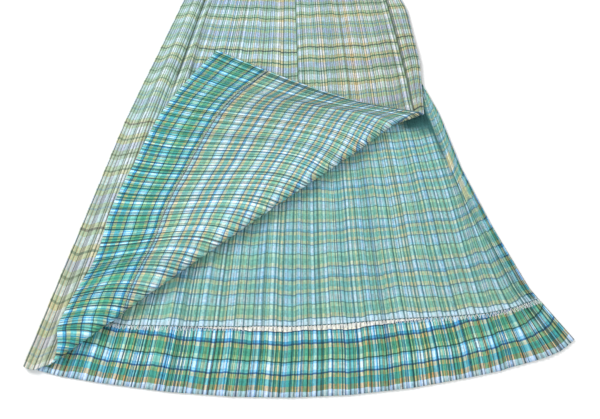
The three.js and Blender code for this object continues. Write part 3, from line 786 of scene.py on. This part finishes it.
# %% Front: slit turning
FRONT_TURNING_ROWS = 50
FRONT_TURNING_END = 1.04   # it ends short of the turn-up, at this many times the turn-up's depth
turning_length = REMAINING - FRONT_TURN_UP * FRONT_TURNING_END
front_turning_rows = mix(0, turning_length, np.linspace(0, 1, FRONT_TURNING_ROWS)[:, None]).T
front_turning_points = front_surface(front_turning_rows, -LAYER)
front_turning_map = front_map(front_turning_rows)
front_turning_cloth = add_cloth(
    "front_turning_cloth", front_turning_points[-SLIT_COLUMNS:],
    front_turning_map[-SLIT_COLUMNS:], PAINTED_VALLEY_SHADE[-SLIT_COLUMNS:, None])

# %% [markdown]
# ## Overlocked edges
# The raw edge of each turned-up hem is overlocked: pale looper threads zigzag over it. A dark thread lies
# on the panel just past the edge; it stands for the needle thread and is painted shadow along the raw edge.
# A thread is a thin tube of four sides along a line, and the line takes its points by turns from the edge
# and from a row a few millimetres in, which gives the zigzag.

# %% Thread helpers


def add_thread(name, path, radius):
    """A closed tube with four sides along one line of points: each point plus a ring of four, square to
    the line."""
    along = np.gradient(path, axis=0)
    along /= np.linalg.norm(along, axis=-1, keepdims=True)
    side = np.cross(along, (0, 0, 1))
    side /= np.linalg.norm(side, axis=-1, keepdims=True)
    up = np.cross(side, along)
    corners = np.radians([45, 135, 225, 315])
    ring = side[:, None] * np.cos(corners)[:, None] + up[:, None] * np.sin(corners)[:, None]
    points = path[:, None] + ring * radius
    at = np.arange(len(path) * 4).reshape(-1, 4)
    here, after = at[:-1], at[1:]
    walls = np.stack([here, after, np.roll(after, -1, axis=1), np.roll(here, -1, axis=1)], axis=-1)
    ends = np.stack([at[0], at[-1, ::-1]])
    piece = add_mesh(name, points.reshape(-1, 3), np.concatenate([walls.reshape(-1, 4), ends]))
    print(name, "has", 2 * len(piece.data.polygons), "triangles")
    return piece


def zigzag(edge, inner):
    """Two points from one line, then two from the other."""
    out = (np.arange(len(edge)) // 2 % 2 == 1)[:, None]
    return np.where(out, edge, inner)


print("a zigzag has a point at each of the", len(SHARE), "columns")

# %% The back's overlocked edge
STITCH_DEPTH = 5.5
LOOPER = 0.55          # radius of a bundle of looper threads
NEEDLE = 0.7
ON_TURN_UP = LAYER + CLOTH / 2     # the height of a turn-up's face above its panel's middle
OVER_EDGE = 0.9        # the loops reach this far past the raw edge
EDGE_LIFT, STITCH_LIFT = 0.15, 0.25    # of the loops above the cloth, at the edge and further in
# Painted shadow: the dark needle thread lies on the panel just past the raw edge, where the edge's shadow
# falls.
BESIDE_EDGE = 1.3      # the needle thread runs this far past the edge
NEEDLE_LIFT = 0.5


def back_line(past_edge, lift):
    """A line of points across the back, a length past the upper edge of its turned-up hem."""
    return back_surface(hem_part(1 + past_edge / turn_up_depth), lift)[HEM_START:, 0]


back_edge = back_line(OVER_EDGE, ON_TURN_UP + EDGE_LIFT)
back_inner = back_line(-STITCH_DEPTH, ON_TURN_UP + STITCH_LIFT)
back_loops = add_thread("back_overlock_loops", zigzag(back_edge, back_inner), LOOPER)
# The back's needle line: a dark thread beside the raw edge, which stands for the needle thread and is painted
# shadow along the edge.
back_needle_edge_shadow = add_thread("back_overlock_needle_edge_shadow", back_line(BESIDE_EDGE, CLOTH / 2 + NEEDLE_LIFT), NEEDLE)

# %% The front's overlocked edge and slit stitches
FINE = 0.4             # the front's threads are drawn in tight, and show this much of their radius
FRONT_STITCH_DEPTH = STITCH_DEPTH / 3
FRONT_BESIDE_EDGE = 1.4
SIDE_STEP = 3          # to each side of a line, so that it has an outward direction
SLIT_LIFT, SLIT_THREAD = 0.1, 0.3
SLIT_START = 3         # rows round the roll that have no stitches


def front_line(past_edge, lift):
    """A line of points across the turned front, a length past the upper edge of its turned-up hem. The
    inside faces up here, so a lift is taken against the outward direction."""
    s = (REMAINING - FRONT_TURN_UP + past_edge)[:, None] + np.array([[-SIDE_STEP, 0, SIDE_STEP]])
    return front_surface(s, -lift)[SIDE_COLUMNS:, 1]


front_edge = front_line(-OVER_EDGE, ON_TURN_UP + EDGE_LIFT)
front_inner = front_line(FRONT_STITCH_DEPTH, ON_TURN_UP + STITCH_LIFT)
front_beside = front_line(-FRONT_BESIDE_EDGE, CLOTH / 2 + NEEDLE_LIFT)
front_loops = add_thread("front_overlock_loops", zigzag(front_edge, front_inner), LOOPER * FINE)
# The front's needle line: likewise a dark thread beside the raw edge, the needle thread and painted shadow
# along the edge.
front_needle_edge_shadow = add_thread("front_overlock_needle_edge_shadow", front_beside, NEEDLE * FINE)
slit_line = front_surface(front_turning_rows, -ON_TURN_UP - SLIT_LIFT)[-SLIT_COLUMNS, SLIT_START:]
slit_stitches = add_thread("front_slit_stitches", slit_line, SLIT_THREAD)

# %% [markdown]
# ## Waistband
# The waistband is a casing of the same cloth round a wide elastic. Relaxed elastic gathers its casing
# into small upright ripples. The band is a closed loop pressed flat, so its outline is two long sides
# with a half circle at each end, and the ripples are a wave added to the outline's outer face.

# %% Waistband: outline
BAND_WALL = 2.6
BAND_SLOT = 1.6
BAND_CLEAR = 0.3       # room under the ripples
BAND_INSET = 0.55      # the band's face is this far inside its outline, which leaves room for ripples


def band_outline(turn, inset):
    """The flattened loop by share of its length, moved inwards by inset: a straight side, a half circle,
    a straight side and a half circle."""
    radius = (2 * BAND_WALL + BAND_SLOT) / 2
    left, right = SIDES["left"][0] + radius, SIDES["front"][0] - radius
    straight, half = right - left, math.pi * radius
    at = turn * 2 * (straight + half)
    side = at >= straight + half
    at = np.where(side, at - straight - half, at)
    bend = np.clip((at - straight) / radius, 0, math.pi)
    along = np.minimum(at, straight)
    x = np.where(side, right - along, left + along) + np.where(side, -1, 1) * np.sin(bend) * (radius - inset)
    z = radius + np.where(side, 1, -1) * np.cos(bend) * (radius - inset)
    return x, z


print("the band is", 2 * BAND_WALL + BAND_SLOT, "mm thick, with its slot")

# %% Waistband: ripples
BAND_RIPPLES = 150
POINTS_PER_RIPPLE = 6
BAND_PROFILE = chart("down out ripple", [
    (0.4, -1.3, 0), (0.05, -0.7, 0), (0, 0, 0.2), (0.6, 0, 0.3), (5, 0, 0.45), (12, 0.25, 0.5),
    (18, 0.3, 0.5), (24, 0.25, 0.5), (30, 0, 0.45), (34.6, 0, 0.3), (35, -0.4, 0.1), (34.9, -1.3, 0)])
BAND_LINING = chart("down out ripple", [
    (34.6, -2, 0.05), (27.8, -2, 0.05), (21, -2, 0.05), (14.2, -2, 0.05), (7.4, -2, 0.05), (0.6, -2, 0.05)])

band_turn = np.linspace(0, 1, BAND_RIPPLES * POINTS_PER_RIPPLE + 1)[:-1]


def band_points(profile):
    """Rings of the band: the outline, pushed out by the profile and by a wave for the gathers. The wave
    runs a little fast and slow, and its height comes and goes between a half and the whole."""
    turn = band_turn[:, None]
    wave = np.sin(2 * math.pi * BAND_RIPPLES * turn + 0.8 * np.sin(40 * turn))
    wave = wave * (0.75 + 0.25 * np.sin(97 * turn))
    x, z = band_outline(turn, BAND_INSET - profile["out"] - profile["ripple"] * wave)
    return on_floor(x, profile["down"], z + BAND_CLEAR)


band_rings = np.concatenate([band_points(BAND_PROFILE), band_points(BAND_LINING)], axis=1)
band_rings = np.concatenate([band_rings, band_rings[:, :1]], axis=1)
print("the band has", BAND_RIPPLES, "ripples")

# %% Waistband: cloth
BAND_PITCH = 19        # mm of the band to a repeat


def add_ring(name, rings, uv):
    """A closed tube of rings: the last column meets the first, and so does the last row."""
    columns, rows = rings.shape[0], rings.shape[1] - 1
    at = np.arange(columns * rows).reshape(columns, rows)
    right, below = np.roll(at, -1, axis=0), np.roll(at, -1, axis=1)
    both = np.roll(right, -1, axis=1)
    quads = np.stack([at, below, both, right], axis=-1).reshape(-1, 4)
    return add_mesh(name, rings[:, :-1].reshape(-1, 3), quads, uv[:, :-1].reshape(-1, 2))


band_u = band_turn[:, None] * 2 * WARP_REPEATS * np.ones((1, band_rings.shape[1]))   # both panels' repeats
band_v = WEFT_REPEATS["repeats"][0] - band_rings[..., 1] / BAND_PITCH
waistband_cloth = add_ring("waistband_cloth", band_rings, np.stack([band_u, band_v], axis=-1))
print("waistband has", 2 * len(waistband_cloth.data.polygons), "triangles")

# %% [markdown]
# ## Plaid material
# The pattern is charted as two lists of coloured stripes, one down the cloth and one across it, each
# written as how wide a stripe is and its thread. A colour ramp with hard steps turns a list into bands,
# and the two lists' colours are multiplied, as two thin sets of threads tint each other. Drawing it from
# the UV map, rather than from places in space, makes the checks follow the pleats and turn over at the
# fold.

# %% Thread colours
TINTS = {
    "white": "F6F9FD", "ice": "DEEAF8", "sky": "A6DAEE", "azure": "56B4DA", "navy": "1F6796",
    "lavender": "D6DAF0", "teal": "70C0BE", "green": "7EC2AC", "forest": "2A6E66", "lime": "CEDDB4",
    "gold": "ECD3A4", "orange": "EABF92", "cream": "F5ECD2", "brown": "9C8C68", "sage": "C3D3B8",
    "mist": "7FB4C4", "leaf": "2F7A55", "pine": "17463E", "straw": "E6DCA8"}


def tint(name, strength):
    """A thread's colour from its sRGB code, as linear red, green and blue, weakened towards white."""
    code = TINTS[name]
    shown = np.array([int(code[i:i + 2], 16) for i in (0, 2, 4)]) / 255
    full = np.where(shown <= 0.04045, shown / 12.92, ((shown + 0.055) / 1.055) ** 2.4)
    return 1 + (full - 1) * strength


WARP = [
    (0.9, "navy"), (1.4, "azure"), (5.2, "white"), (1.0, "sky"), (0.9, "navy"), (1.7, "cream"),
    (0.8, "forest"), (4.6, "green"), (0.9, "forest"), (2.2, "gold"), (0.6, "brown"), (2.6, "teal"),
    (1.2, "cream"),
    (0.9, "navy"), (2.0, "sky"), (4.2, "ice"), (1.5, "azure"), (1.0, "navy"), (1.4, "white"),
    (4.6, "teal"), (1.0, "forest"), (2.0, "lime"), (0.8, "brown"), (2.6, "green"), (0.9, "forest"),
    (1.1, "cream")]
INNER_WEFT = [
    (1.9, "navy"), (3.6, "sky"), (8.4, "white"), (2.8, "sky"), (1.9, "forest"), (5.4, "lime"),
    (9.4, "green"), (5.6, "gold"),
    (1.9, "navy"), (3.6, "sky"), (7.4, "white"), (3.6, "azure"), (2.0, "navy"), (5.6, "gold"),
    (8.8, "teal"), (5.6, "gold")]
BACK_WEFT = [(width, "lavender" if name == "white" else name) for width, name in INNER_WEFT]
# The turned-up hem shows a third repeat, and has azure below its second white stripe and sky above it.
HEM_WEFT = INNER_WEFT[:9] + INNER_WEFT[11:8:-1] + INNER_WEFT[12:] + [
    (17.6, "lavender"), (6.6, "orange"), (8.6, "teal"), (5.9, "gold")]
OUTER_WEFT = [
    (15.0, "white"), (1.0, "sage"), (7.6, "straw"), (3.8, "leaf"), (8.6, "straw"),
    (15.0, "lavender"), (1.0, "sage"), (7.6, "sage"), (3.8, "leaf"), (8.6, "sage"),
    (15.0, "white"), (1.0, "sage"), (7.6, "lime"), (3.8, "leaf"), (8.6, "straw"),
    (15.0, "white"), (1.0, "sky"), (7.6, "sage"), (3.4, "mist"), (9.0, "lime"),
    (15.0, "lavender"), (1.0, "sky"), (7.6, "sage"), (3.4, "mist"), (9.0, "sage"),
    (15.0, "white"), (1.0, "sage"), (7.6, "straw"), (4.2, "pine"), (8.2, "lime")]
print(len(WARP), "stripes in the warp's double repeat and", len(INNER_WEFT), "in the inner weft's")

# %% [markdown]
# A material is a tree of nodes. The helpers here add a node and its links in one line each, so that the
# material itself reads as a recipe.

# %% Node helpers


def add_node(tree, kind, settings=None, **sockets):
    """A shader node with its settings, and values or links for the sockets that are named."""
    made = tree.nodes.new("ShaderNode" + kind)
    for key, value in (settings or {}).items():
        setattr(made, key, value)
    for key, value in sockets.items():
        socket = made.inputs[int(key[1:])] if key[1:].isdigit() else made.inputs[key.replace("_", " ")]
        if isinstance(value, bpy.types.NodeSocket):
            tree.links.new(value, socket)
        else:
            socket.default_value = value
    return made


def sums(tree, operation, *values):
    """A Math node's result for one, two or three values or sockets."""
    sockets = {f"i{k}": value for k, value in enumerate(values)}
    return add_node(tree, "Math", {"operation": operation}, **sockets).outputs[0]


def blend_colours(tree, kind, share, first, second):
    """A colour Mix node."""
    made = tree.nodes.new("ShaderNodeMix")
    made.data_type = "RGBA"
    made.blend_type = kind
    made.clamp_result = True
    for socket, value in ((made.inputs[0], share), (made.inputs[6], first), (made.inputs[7], second)):
        if isinstance(value, bpy.types.NodeSocket):
            tree.links.new(value, socket)
        else:
            socket.default_value = value
    return made.outputs[2]


print("three helpers: any node, a Math node and a colour Mix node")

# %% [markdown]
# A colour ramp holds up to 32 stops, so a list of stripes may be as long as that before it comes round
# again. That is why the warp's chart is two repeats long and the outside's weft six, and no longer.

# %% Stripes and noise


def stripes(tree, repeats, cycle, chart_rows, strength):
    """A colour ramp with hard steps from a list of stripes that comes round once in a cycle of repeats."""
    at = sums(tree, "FRACT", sums(tree, "DIVIDE", repeats, cycle))
    ramp = add_node(tree, "ValToRGB", Fac=at)
    ramp.color_ramp.interpolation = "CONSTANT"
    total, place = sum(width for width, _ in chart_rows), 0
    for k, (width, name) in enumerate(chart_rows):
        stops = ramp.color_ramp.elements
        stop = stops[0] if k == 0 else stops.new(place / total)
        stop.position = place / total
        stop.color = (*tint(name, strength), 1)
        place += width
        if k == 0:
            stops.remove(stops[1])
    return ramp.outputs["Color"]


def noise(tree, uv, scale, detail, roughness=0.5):
    """Soft noise over the pattern, stretched by a scale along U and one along V."""
    place = add_node(tree, "Mapping", Vector=uv, Scale=(*scale, 1)).outputs["Vector"]
    return add_node(tree, "TexNoise", Vector=place, Scale=1.0, Detail=detail, Roughness=roughness).outputs[0]


print("a tint at full strength and at half:", tint("teal", 1).round(2), tint("teal", 0.5).round(2))

# %% [markdown]
# Thin woven cloth is uneven at every size: threads that cross, slubs across the cloth, streaks along the
# pleats, and patches where the dye took more or less. Each is a noise or a wave over the same UV map, so
# all of it stays in the cloth. The dark of the valleys and troughs is painted shade, which comes from the
# attribute that the mesh carries. Single places, such as the cream band along the overlocked edge, are
# rectangles of the pattern that are mixed towards a colour of their own, and one on the turned front is
# painted shade.

# %% Unevenness of the cloth
WARP_THREADS = 44      # in a repeat
WEFT_THREADS = 72
YARN_GROUPS = 13       # patches of lighter and darker yarn in a repeat
COOL, WARM = (0.86, 0.99, 0.98, 1), (1.0, 0.95, 0.82, 1)
HEM_REPEATS = 9        # towards the hem, the last repeats over which the cloth looks warmer
HEM_WARMTH = 0.1       # for each of them
DRIFT_CONTRAST, COOL_BIAS = 1.6, 0.3
LEAST_LIGHT, STREAK_LIGHT, SLUB_LIGHT, PATCH_LIGHT = 0.6, 0.6, 0.5, 0.4
WEAVE_RELIEF = 0.3     # next to the streaks' relief


def unevenness(tree, uv, u, v):
    """Streaks along the pleats, a light that they and the slubs and patches of yarn add up to, and a
    relief of streaks and weave. The weave is a wave for each warp thread times one for each weft thread."""
    streak = noise(tree, uv, (17, 1.1), detail=3, roughness=0.6)
    slub = noise(tree, uv, (6, 21), detail=2, roughness=0.6)
    cells = add_node(tree, "VectorMath", {"operation": "MULTIPLY"}, i0=uv, i1=(YARN_GROUPS, YARN_GROUPS, 1))
    cells = add_node(tree, "VectorMath", {"operation": "FLOOR"}, i0=cells.outputs[0]).outputs[0]
    patch = add_node(tree, "TexWhiteNoise", {"noise_dimensions": "2D"}, Vector=cells).outputs[0]
    over = sums(tree, "SINE", sums(tree, "MULTIPLY", u, 2 * math.pi * WARP_THREADS))
    under = sums(tree, "SINE", sums(tree, "MULTIPLY", v, 2 * math.pi * WEFT_THREADS))
    weave = sums(tree, "MULTIPLY", over, under)
    light = sums(tree, "MULTIPLY_ADD", streak, STREAK_LIGHT, LEAST_LIGHT)
    light = sums(tree, "MULTIPLY_ADD", slub, SLUB_LIGHT, light)
    light = sums(tree, "MULTIPLY_ADD", patch, PATCH_LIGHT, light)
    return streak, light, sums(tree, "MULTIPLY_ADD", weave, WEAVE_RELIEF, streak)


def cool_or_warm(tree, uv, u, v, warmth):
    """A tint that drifts between cool and warm with a large noise. The larger its warmth, the more it
    grows warmer from left to right and towards the hem."""
    drift = noise(tree, uv, (0.21, 0.27), detail=2)
    near_hem = sums(tree, "MAXIMUM", sums(tree, "ADD", v, HEM_REPEATS), 0)
    place = sums(tree, "MULTIPLY_ADD", u, warmth / WARP_REPEATS, -warmth / 2 - COOL_BIAS)
    place = sums(tree, "MULTIPLY_ADD", near_hem, HEM_WARMTH * warmth, place)
    warm = add_node(tree, "Clamp", Value=sums(tree, "MULTIPLY_ADD", drift, DRIFT_CONTRAST, place)).outputs[0]
    return blend_colours(tree, "MIX", warm, COOL, WARM)


print("the weave has", WARP_THREADS, "by", WEFT_THREADS, "threads in a repeat")

# %% Plaid cloth
FIRST_LINE = 0.825     # from the hem fold to the first dark line of the turn-up, in repeats
LEAST_ROUGH, STREAK_ROUGH = 0.76, 0.16
BUMP_STRENGTH, BUMP_DEPTH = 0.35, 0.0004   # the depth in metres
SHEEN, SHEEN_ROUGHNESS, SPECULAR = 0.12, 0.4, 0.25


def plaid(name, weft_chart, cycle, warp_strength, weft_strength, ground, painted_shade_colour, warmth, places=()):
    """Cloth of the plaid: the warp's tint times the weft's times a ground colour and a drifting tint,
    mixed towards a painted shade colour in the valleys and troughs, times an uneven light. Each place is a
    rectangle of the pattern, from its middle and half its size in U and V, which is mixed towards a colour by
    an amount."""
    material = bpy.data.materials.new(name)
    material.use_nodes = True
    tree = material.node_tree
    shader = tree.nodes["Principled BSDF"]
    uv = add_node(tree, "UVMap", {"uv_map": "cloth"}).outputs["UV"]
    split = add_node(tree, "SeparateXYZ", Vector=uv)
    u, v = split.outputs["X"], sums(tree, "SUBTRACT", split.outputs["Y"], FIRST_LINE)
    warp = stripes(tree, u, 2, WARP, warp_strength)
    weft = stripes(tree, v, cycle, weft_chart, weft_strength)

    streak, light, relief = unevenness(tree, uv, u, v)

    woven = blend_colours(tree, "MULTIPLY", 1.0, warp, weft)
    grounded = blend_colours(tree, "MULTIPLY", 1.0, woven, (*ground, 1))
    placed = blend_colours(tree, "MULTIPLY", 1.0, grounded, cool_or_warm(tree, uv, u, v, warmth))
    for u_middle, u_half, v_middle, v_half, colour, amount in places:
        inside_u = sums(tree, "COMPARE", u, u_middle, u_half)
        inside_v = sums(tree, "COMPARE", v, v_middle, v_half)
        share = sums(tree, "MULTIPLY", sums(tree, "MULTIPLY", inside_u, inside_v), amount)
        placed = blend_colours(tree, "MIX", share, placed, (*colour, 1))
    # Painted shade: the valley attribute mixes the colour towards the painted shade colour.
    valley = add_node(tree, "Attribute", {"attribute_name": "valley"}).outputs["Fac"]
    shaded = blend_colours(tree, "MIX", valley, placed, (*painted_shade_colour, 1))
    grey = add_node(tree, "CombineColor", Red=light, Green=light, Blue=light).outputs["Color"]
    colour = blend_colours(tree, "MULTIPLY", 1.0, shaded, grey)

    tree.links.new(colour, shader.inputs["Base Color"])
    rough = sums(tree, "MULTIPLY_ADD", streak, STREAK_ROUGH, LEAST_ROUGH)
    tree.links.new(rough, shader.inputs["Roughness"])
    bump = add_node(tree, "Bump", Height=relief, Strength=BUMP_STRENGTH, Distance=BUMP_DEPTH)
    tree.links.new(bump.outputs["Normal"], shader.inputs["Normal"])
    shader.inputs["Sheen Weight"].default_value = SHEEN
    shader.inputs["Sheen Roughness"].default_value = SHEEN_ROUGHNESS
    shader.inputs["Specular IOR Level"].default_value = SPECULAR
    print("material", name, "has", len(tree.nodes), "nodes")
    return material


# %% [markdown]
# The outside is the paler side. The inside is stronger on the part that is turned back than on the back
# panel, whose darker ground is partly painted shade, and a turned-up hem is stronger again, because its
# cloth is double. So there are five materials of one recipe, each with its own chart across, strengths,
# ground and painted shade colour.

# %% The five sides of the cloth
CREAM, ICE_BLUE, AMBER = (0.84, 0.80, 0.72), (0.66, 0.76, 0.92), (0.86, 0.62, 0.30)
MOSS, DEEP_TEAL = (0.34, 0.40, 0.26), (0.02, 0.12, 0.13)
ALL_U = (18, 30)       # the middle and half the width of a place that crosses the whole panel

outside = plaid(
    "plaid_outside", OUTER_WEFT, cycle=6, warp_strength=0.55, weft_strength=0.80,
    ground=(0.65, 0.66, 0.73), painted_shade_colour=(0.016, 0.035, 0.02), warmth=1.4,
    places=[                                          # the strip along the left side, which is duller
        (2.2, 3.4, -20, 7.6, MOSS, 0.27), (2.2, 3.4, -6, 6.4, AMBER, 0.15),
        (2.2, 3.4, -6, 6.4, DEEP_TEAL, 0.09)])
# Its ground is darker than the turned part's: partly painted shade, as the back panel lies deeper in shade
# than the turned part.
inside = plaid(
    "plaid_inside_painted_shade", BACK_WEFT, cycle=2, warp_strength=0.55, weft_strength=0.64,
    ground=(0.52, 0.68, 0.735), painted_shade_colour=(0.024, 0.09, 0.09), warmth=0.3,
    places=[
        (*ALL_U, -2.80, 0.145, ICE_BLUE, 0.34),       # the pale band above the turned-up hem
        (33.2, 0.9, -9.2, 0.5, AMBER, 0.42),          # two gold patches beside the slit
        (34.2, 0.75, -7.6, 0.5, AMBER, 0.32)])
# Painted shade: the turned front's one place darkens its lower left end towards deep teal, for the shadows of
# folds there.
turned = plaid(
    "plaid_turned", INNER_WEFT, cycle=2, warp_strength=0.6, weft_strength=0.82,
    ground=(0.83, 0.88, 0.98), painted_shade_colour=(0.004, 0.022, 0.032), warmth=0.2,
    places=[(6, 6, -10, 40, DEEP_TEAL, 0.12)])        # its lower left end is a little darker
doubled = plaid(
    "plaid_doubled", HEM_WEFT, cycle=3, warp_strength=0.92, weft_strength=0.88,
    ground=(0.67, 0.81, 0.94), painted_shade_colour=(0.003, 0.018, 0.022), warmth=0.2,
    places=[
        (18.2, 10.2, 11.485, 10, CREAM, 0.74),        # the cream band at the overlocked edge
        (*ALL_U, -0.64, 0.095, ICE_BLUE, 0.3)])       # the pale band at the hem fold
# Painted shade: its one place darkens the lower left end of the turned hem towards deep teal, for the shadows
# of folds there.
doubled_turned = plaid(
    "plaid_doubled_turned", INNER_WEFT, cycle=2, warp_strength=0.88, weft_strength=0.9,
    ground=(0.66, 0.90, 1.0), painted_shade_colour=(0.004, 0.02, 0.03), warmth=0,
    places=[(6, 6, -10, 40, DEEP_TEAL, 0.1)])

# %% [markdown]
# Sewing thread is matt and a little hairy. A plain colour would read as plastic at this size, so the
# colour varies over a few stitches and a fine noise gives it a twist.

# %% Thread material
PATCH_SCALE, TWIST_SCALE = 140, 2600       # noise features in a metre
THREAD_ROUGH, TWIST_ROUGH = 0.45, 0.3
TWIST_STRENGTH, TWIST_DEPTH = 0.4, 0.0002


def thread(name, pale, dark):
    """Spun sewing thread: a fine twist along it and a colour that varies from stitch to stitch."""
    material = bpy.data.materials.new(name)
    material.use_nodes = True
    tree = material.node_tree
    shader = tree.nodes["Principled BSDF"]
    place = add_node(tree, "TexCoord").outputs["Object"]
    patches = add_node(tree, "TexNoise", Vector=place, Scale=PATCH_SCALE, Detail=2.0).outputs[0]
    twist = add_node(tree, "TexNoise", Vector=place, Scale=TWIST_SCALE, Detail=1.0).outputs[0]
    colour = blend_colours(tree, "MIX", patches, (*pale, 1), (*dark, 1))
    tree.links.new(colour, shader.inputs["Base Color"])
    rough = sums(tree, "MULTIPLY_ADD", twist, TWIST_ROUGH, THREAD_ROUGH)
    tree.links.new(rough, shader.inputs["Roughness"])
    bump = add_node(tree, "Bump", Height=twist, Strength=TWIST_STRENGTH, Distance=TWIST_DEPTH)
    tree.links.new(bump.outputs["Normal"], shader.inputs["Normal"])
    return material


looper_thread = thread("looper_thread", (0.86, 0.86, 0.88), (0.55, 0.62, 0.66))
# This dark thread is the slit stitches' thread, and in the needle lines it is also painted shadow beside the
# overlocked edges.
needle_thread_and_edge_shadow = thread("needle_thread_and_edge_shadow", (0.03, 0.16, 0.16), (0.01, 0.07, 0.08))
print("two sewing threads")

# %% [markdown]
# The front cloth shows two sides: the outside where it lies flat and the inside where it is turned
# back. Its wall has both faces, so the two sides are two material slots, and the faces of the inner
# grid take the second.

# %% Give each piece its cloth


def dress(piece, *materials):
    """Put materials into a piece's slots. With two, the second goes to the lower half of the wall."""
    for material in materials:
        piece.data.materials.append(material)
    if len(materials) == 2:
        count = len(piece.data.vertices) // 2
        first = np.empty(len(piece.data.polygons) * 4, dtype=np.int32)
        piece.data.loops.foreach_get("vertex_index", first)
        lower = (first.reshape(-1, 4).min(axis=1) >= count).astype(np.int32)
        piece.data.polygons.foreach_set("material_index", lower)


dress(front_cloth, outside, turned)
dress(back_cloth, inside)
for piece in (back_hem_cloth, back_turning_cloth):
    dress(piece, doubled)
dress(front_hem_cloth, doubled_turned)
dress(front_turning_cloth, turned)
for piece in (back_loops, front_loops):
    dress(piece, looper_thread)
for piece in (back_needle_edge_shadow, front_needle_edge_shadow, slit_stitches):
    dress(piece, needle_thread_and_edge_shadow)
dress(waistband_cloth, outside)
print("the front's two sides are", [slot.name for slot in front_cloth.material_slots])

# %% [markdown]
# The floor is a single large face just under the skirt. It isn't part of the object.

# %% Floor
FLOOR_HALF = 4.0       # metres from its middle to its sides
FLOOR_BELOW = -0.0002
corners = [(x * FLOOR_HALF, y * FLOOR_HALF, FLOOR_BELOW) for x, y in ((-1, -1), (1, -1), (1, 1), (-1, 1))]
floor_mesh = bpy.data.meshes.new("floor")
floor_mesh.from_pydata(corners, [], [(0, 1, 2, 3)])
floor = bpy.data.objects.new("floor", floor_mesh)
bpy.context.scene.collection.objects.link(floor)

floor_material = bpy.data.materials.new("pale_floor")
floor_material.use_nodes = True
floor_shader = floor_material.node_tree.nodes["Principled BSDF"]
floor_shader.inputs["Base Color"].default_value = (0.93, 0.93, 0.93, 1)
floor_shader.inputs["Roughness"].default_value = 0.9
floor_mesh.materials.append(floor_material)
print("a pale floor", 2 * FLOOR_HALF, "metres across")

# %% [markdown]
# Each cloth stands for one solid of the imported model, which is hidden, and the cloths and the threads
# ride on the one body.

# %% Say what each piece stands for
PIECES = [
    (waistband_cloth, "waistband", "cloth_outside"), (back_cloth, "back_panel", "cloth_inside"),
    (back_hem_cloth, "back_hem", "cloth_double"), (back_turning_cloth, "back_slit_turning", "cloth_double"),
    (front_cloth, "front_panel", "cloth_outside"), (front_hem_cloth, "front_hem", "cloth_double"),
    (front_turning_cloth, "front_slit_turning", "cloth_double")]
for piece, node, slot in PIECES:
    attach(piece, "root")
    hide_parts(node)
for piece in (back_loops, back_needle_edge_shadow, front_loops, front_needle_edge_shadow, slit_stitches):
    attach(piece, "root")
print(len(PIECES), "cloths and 5 threads ride on the one body")
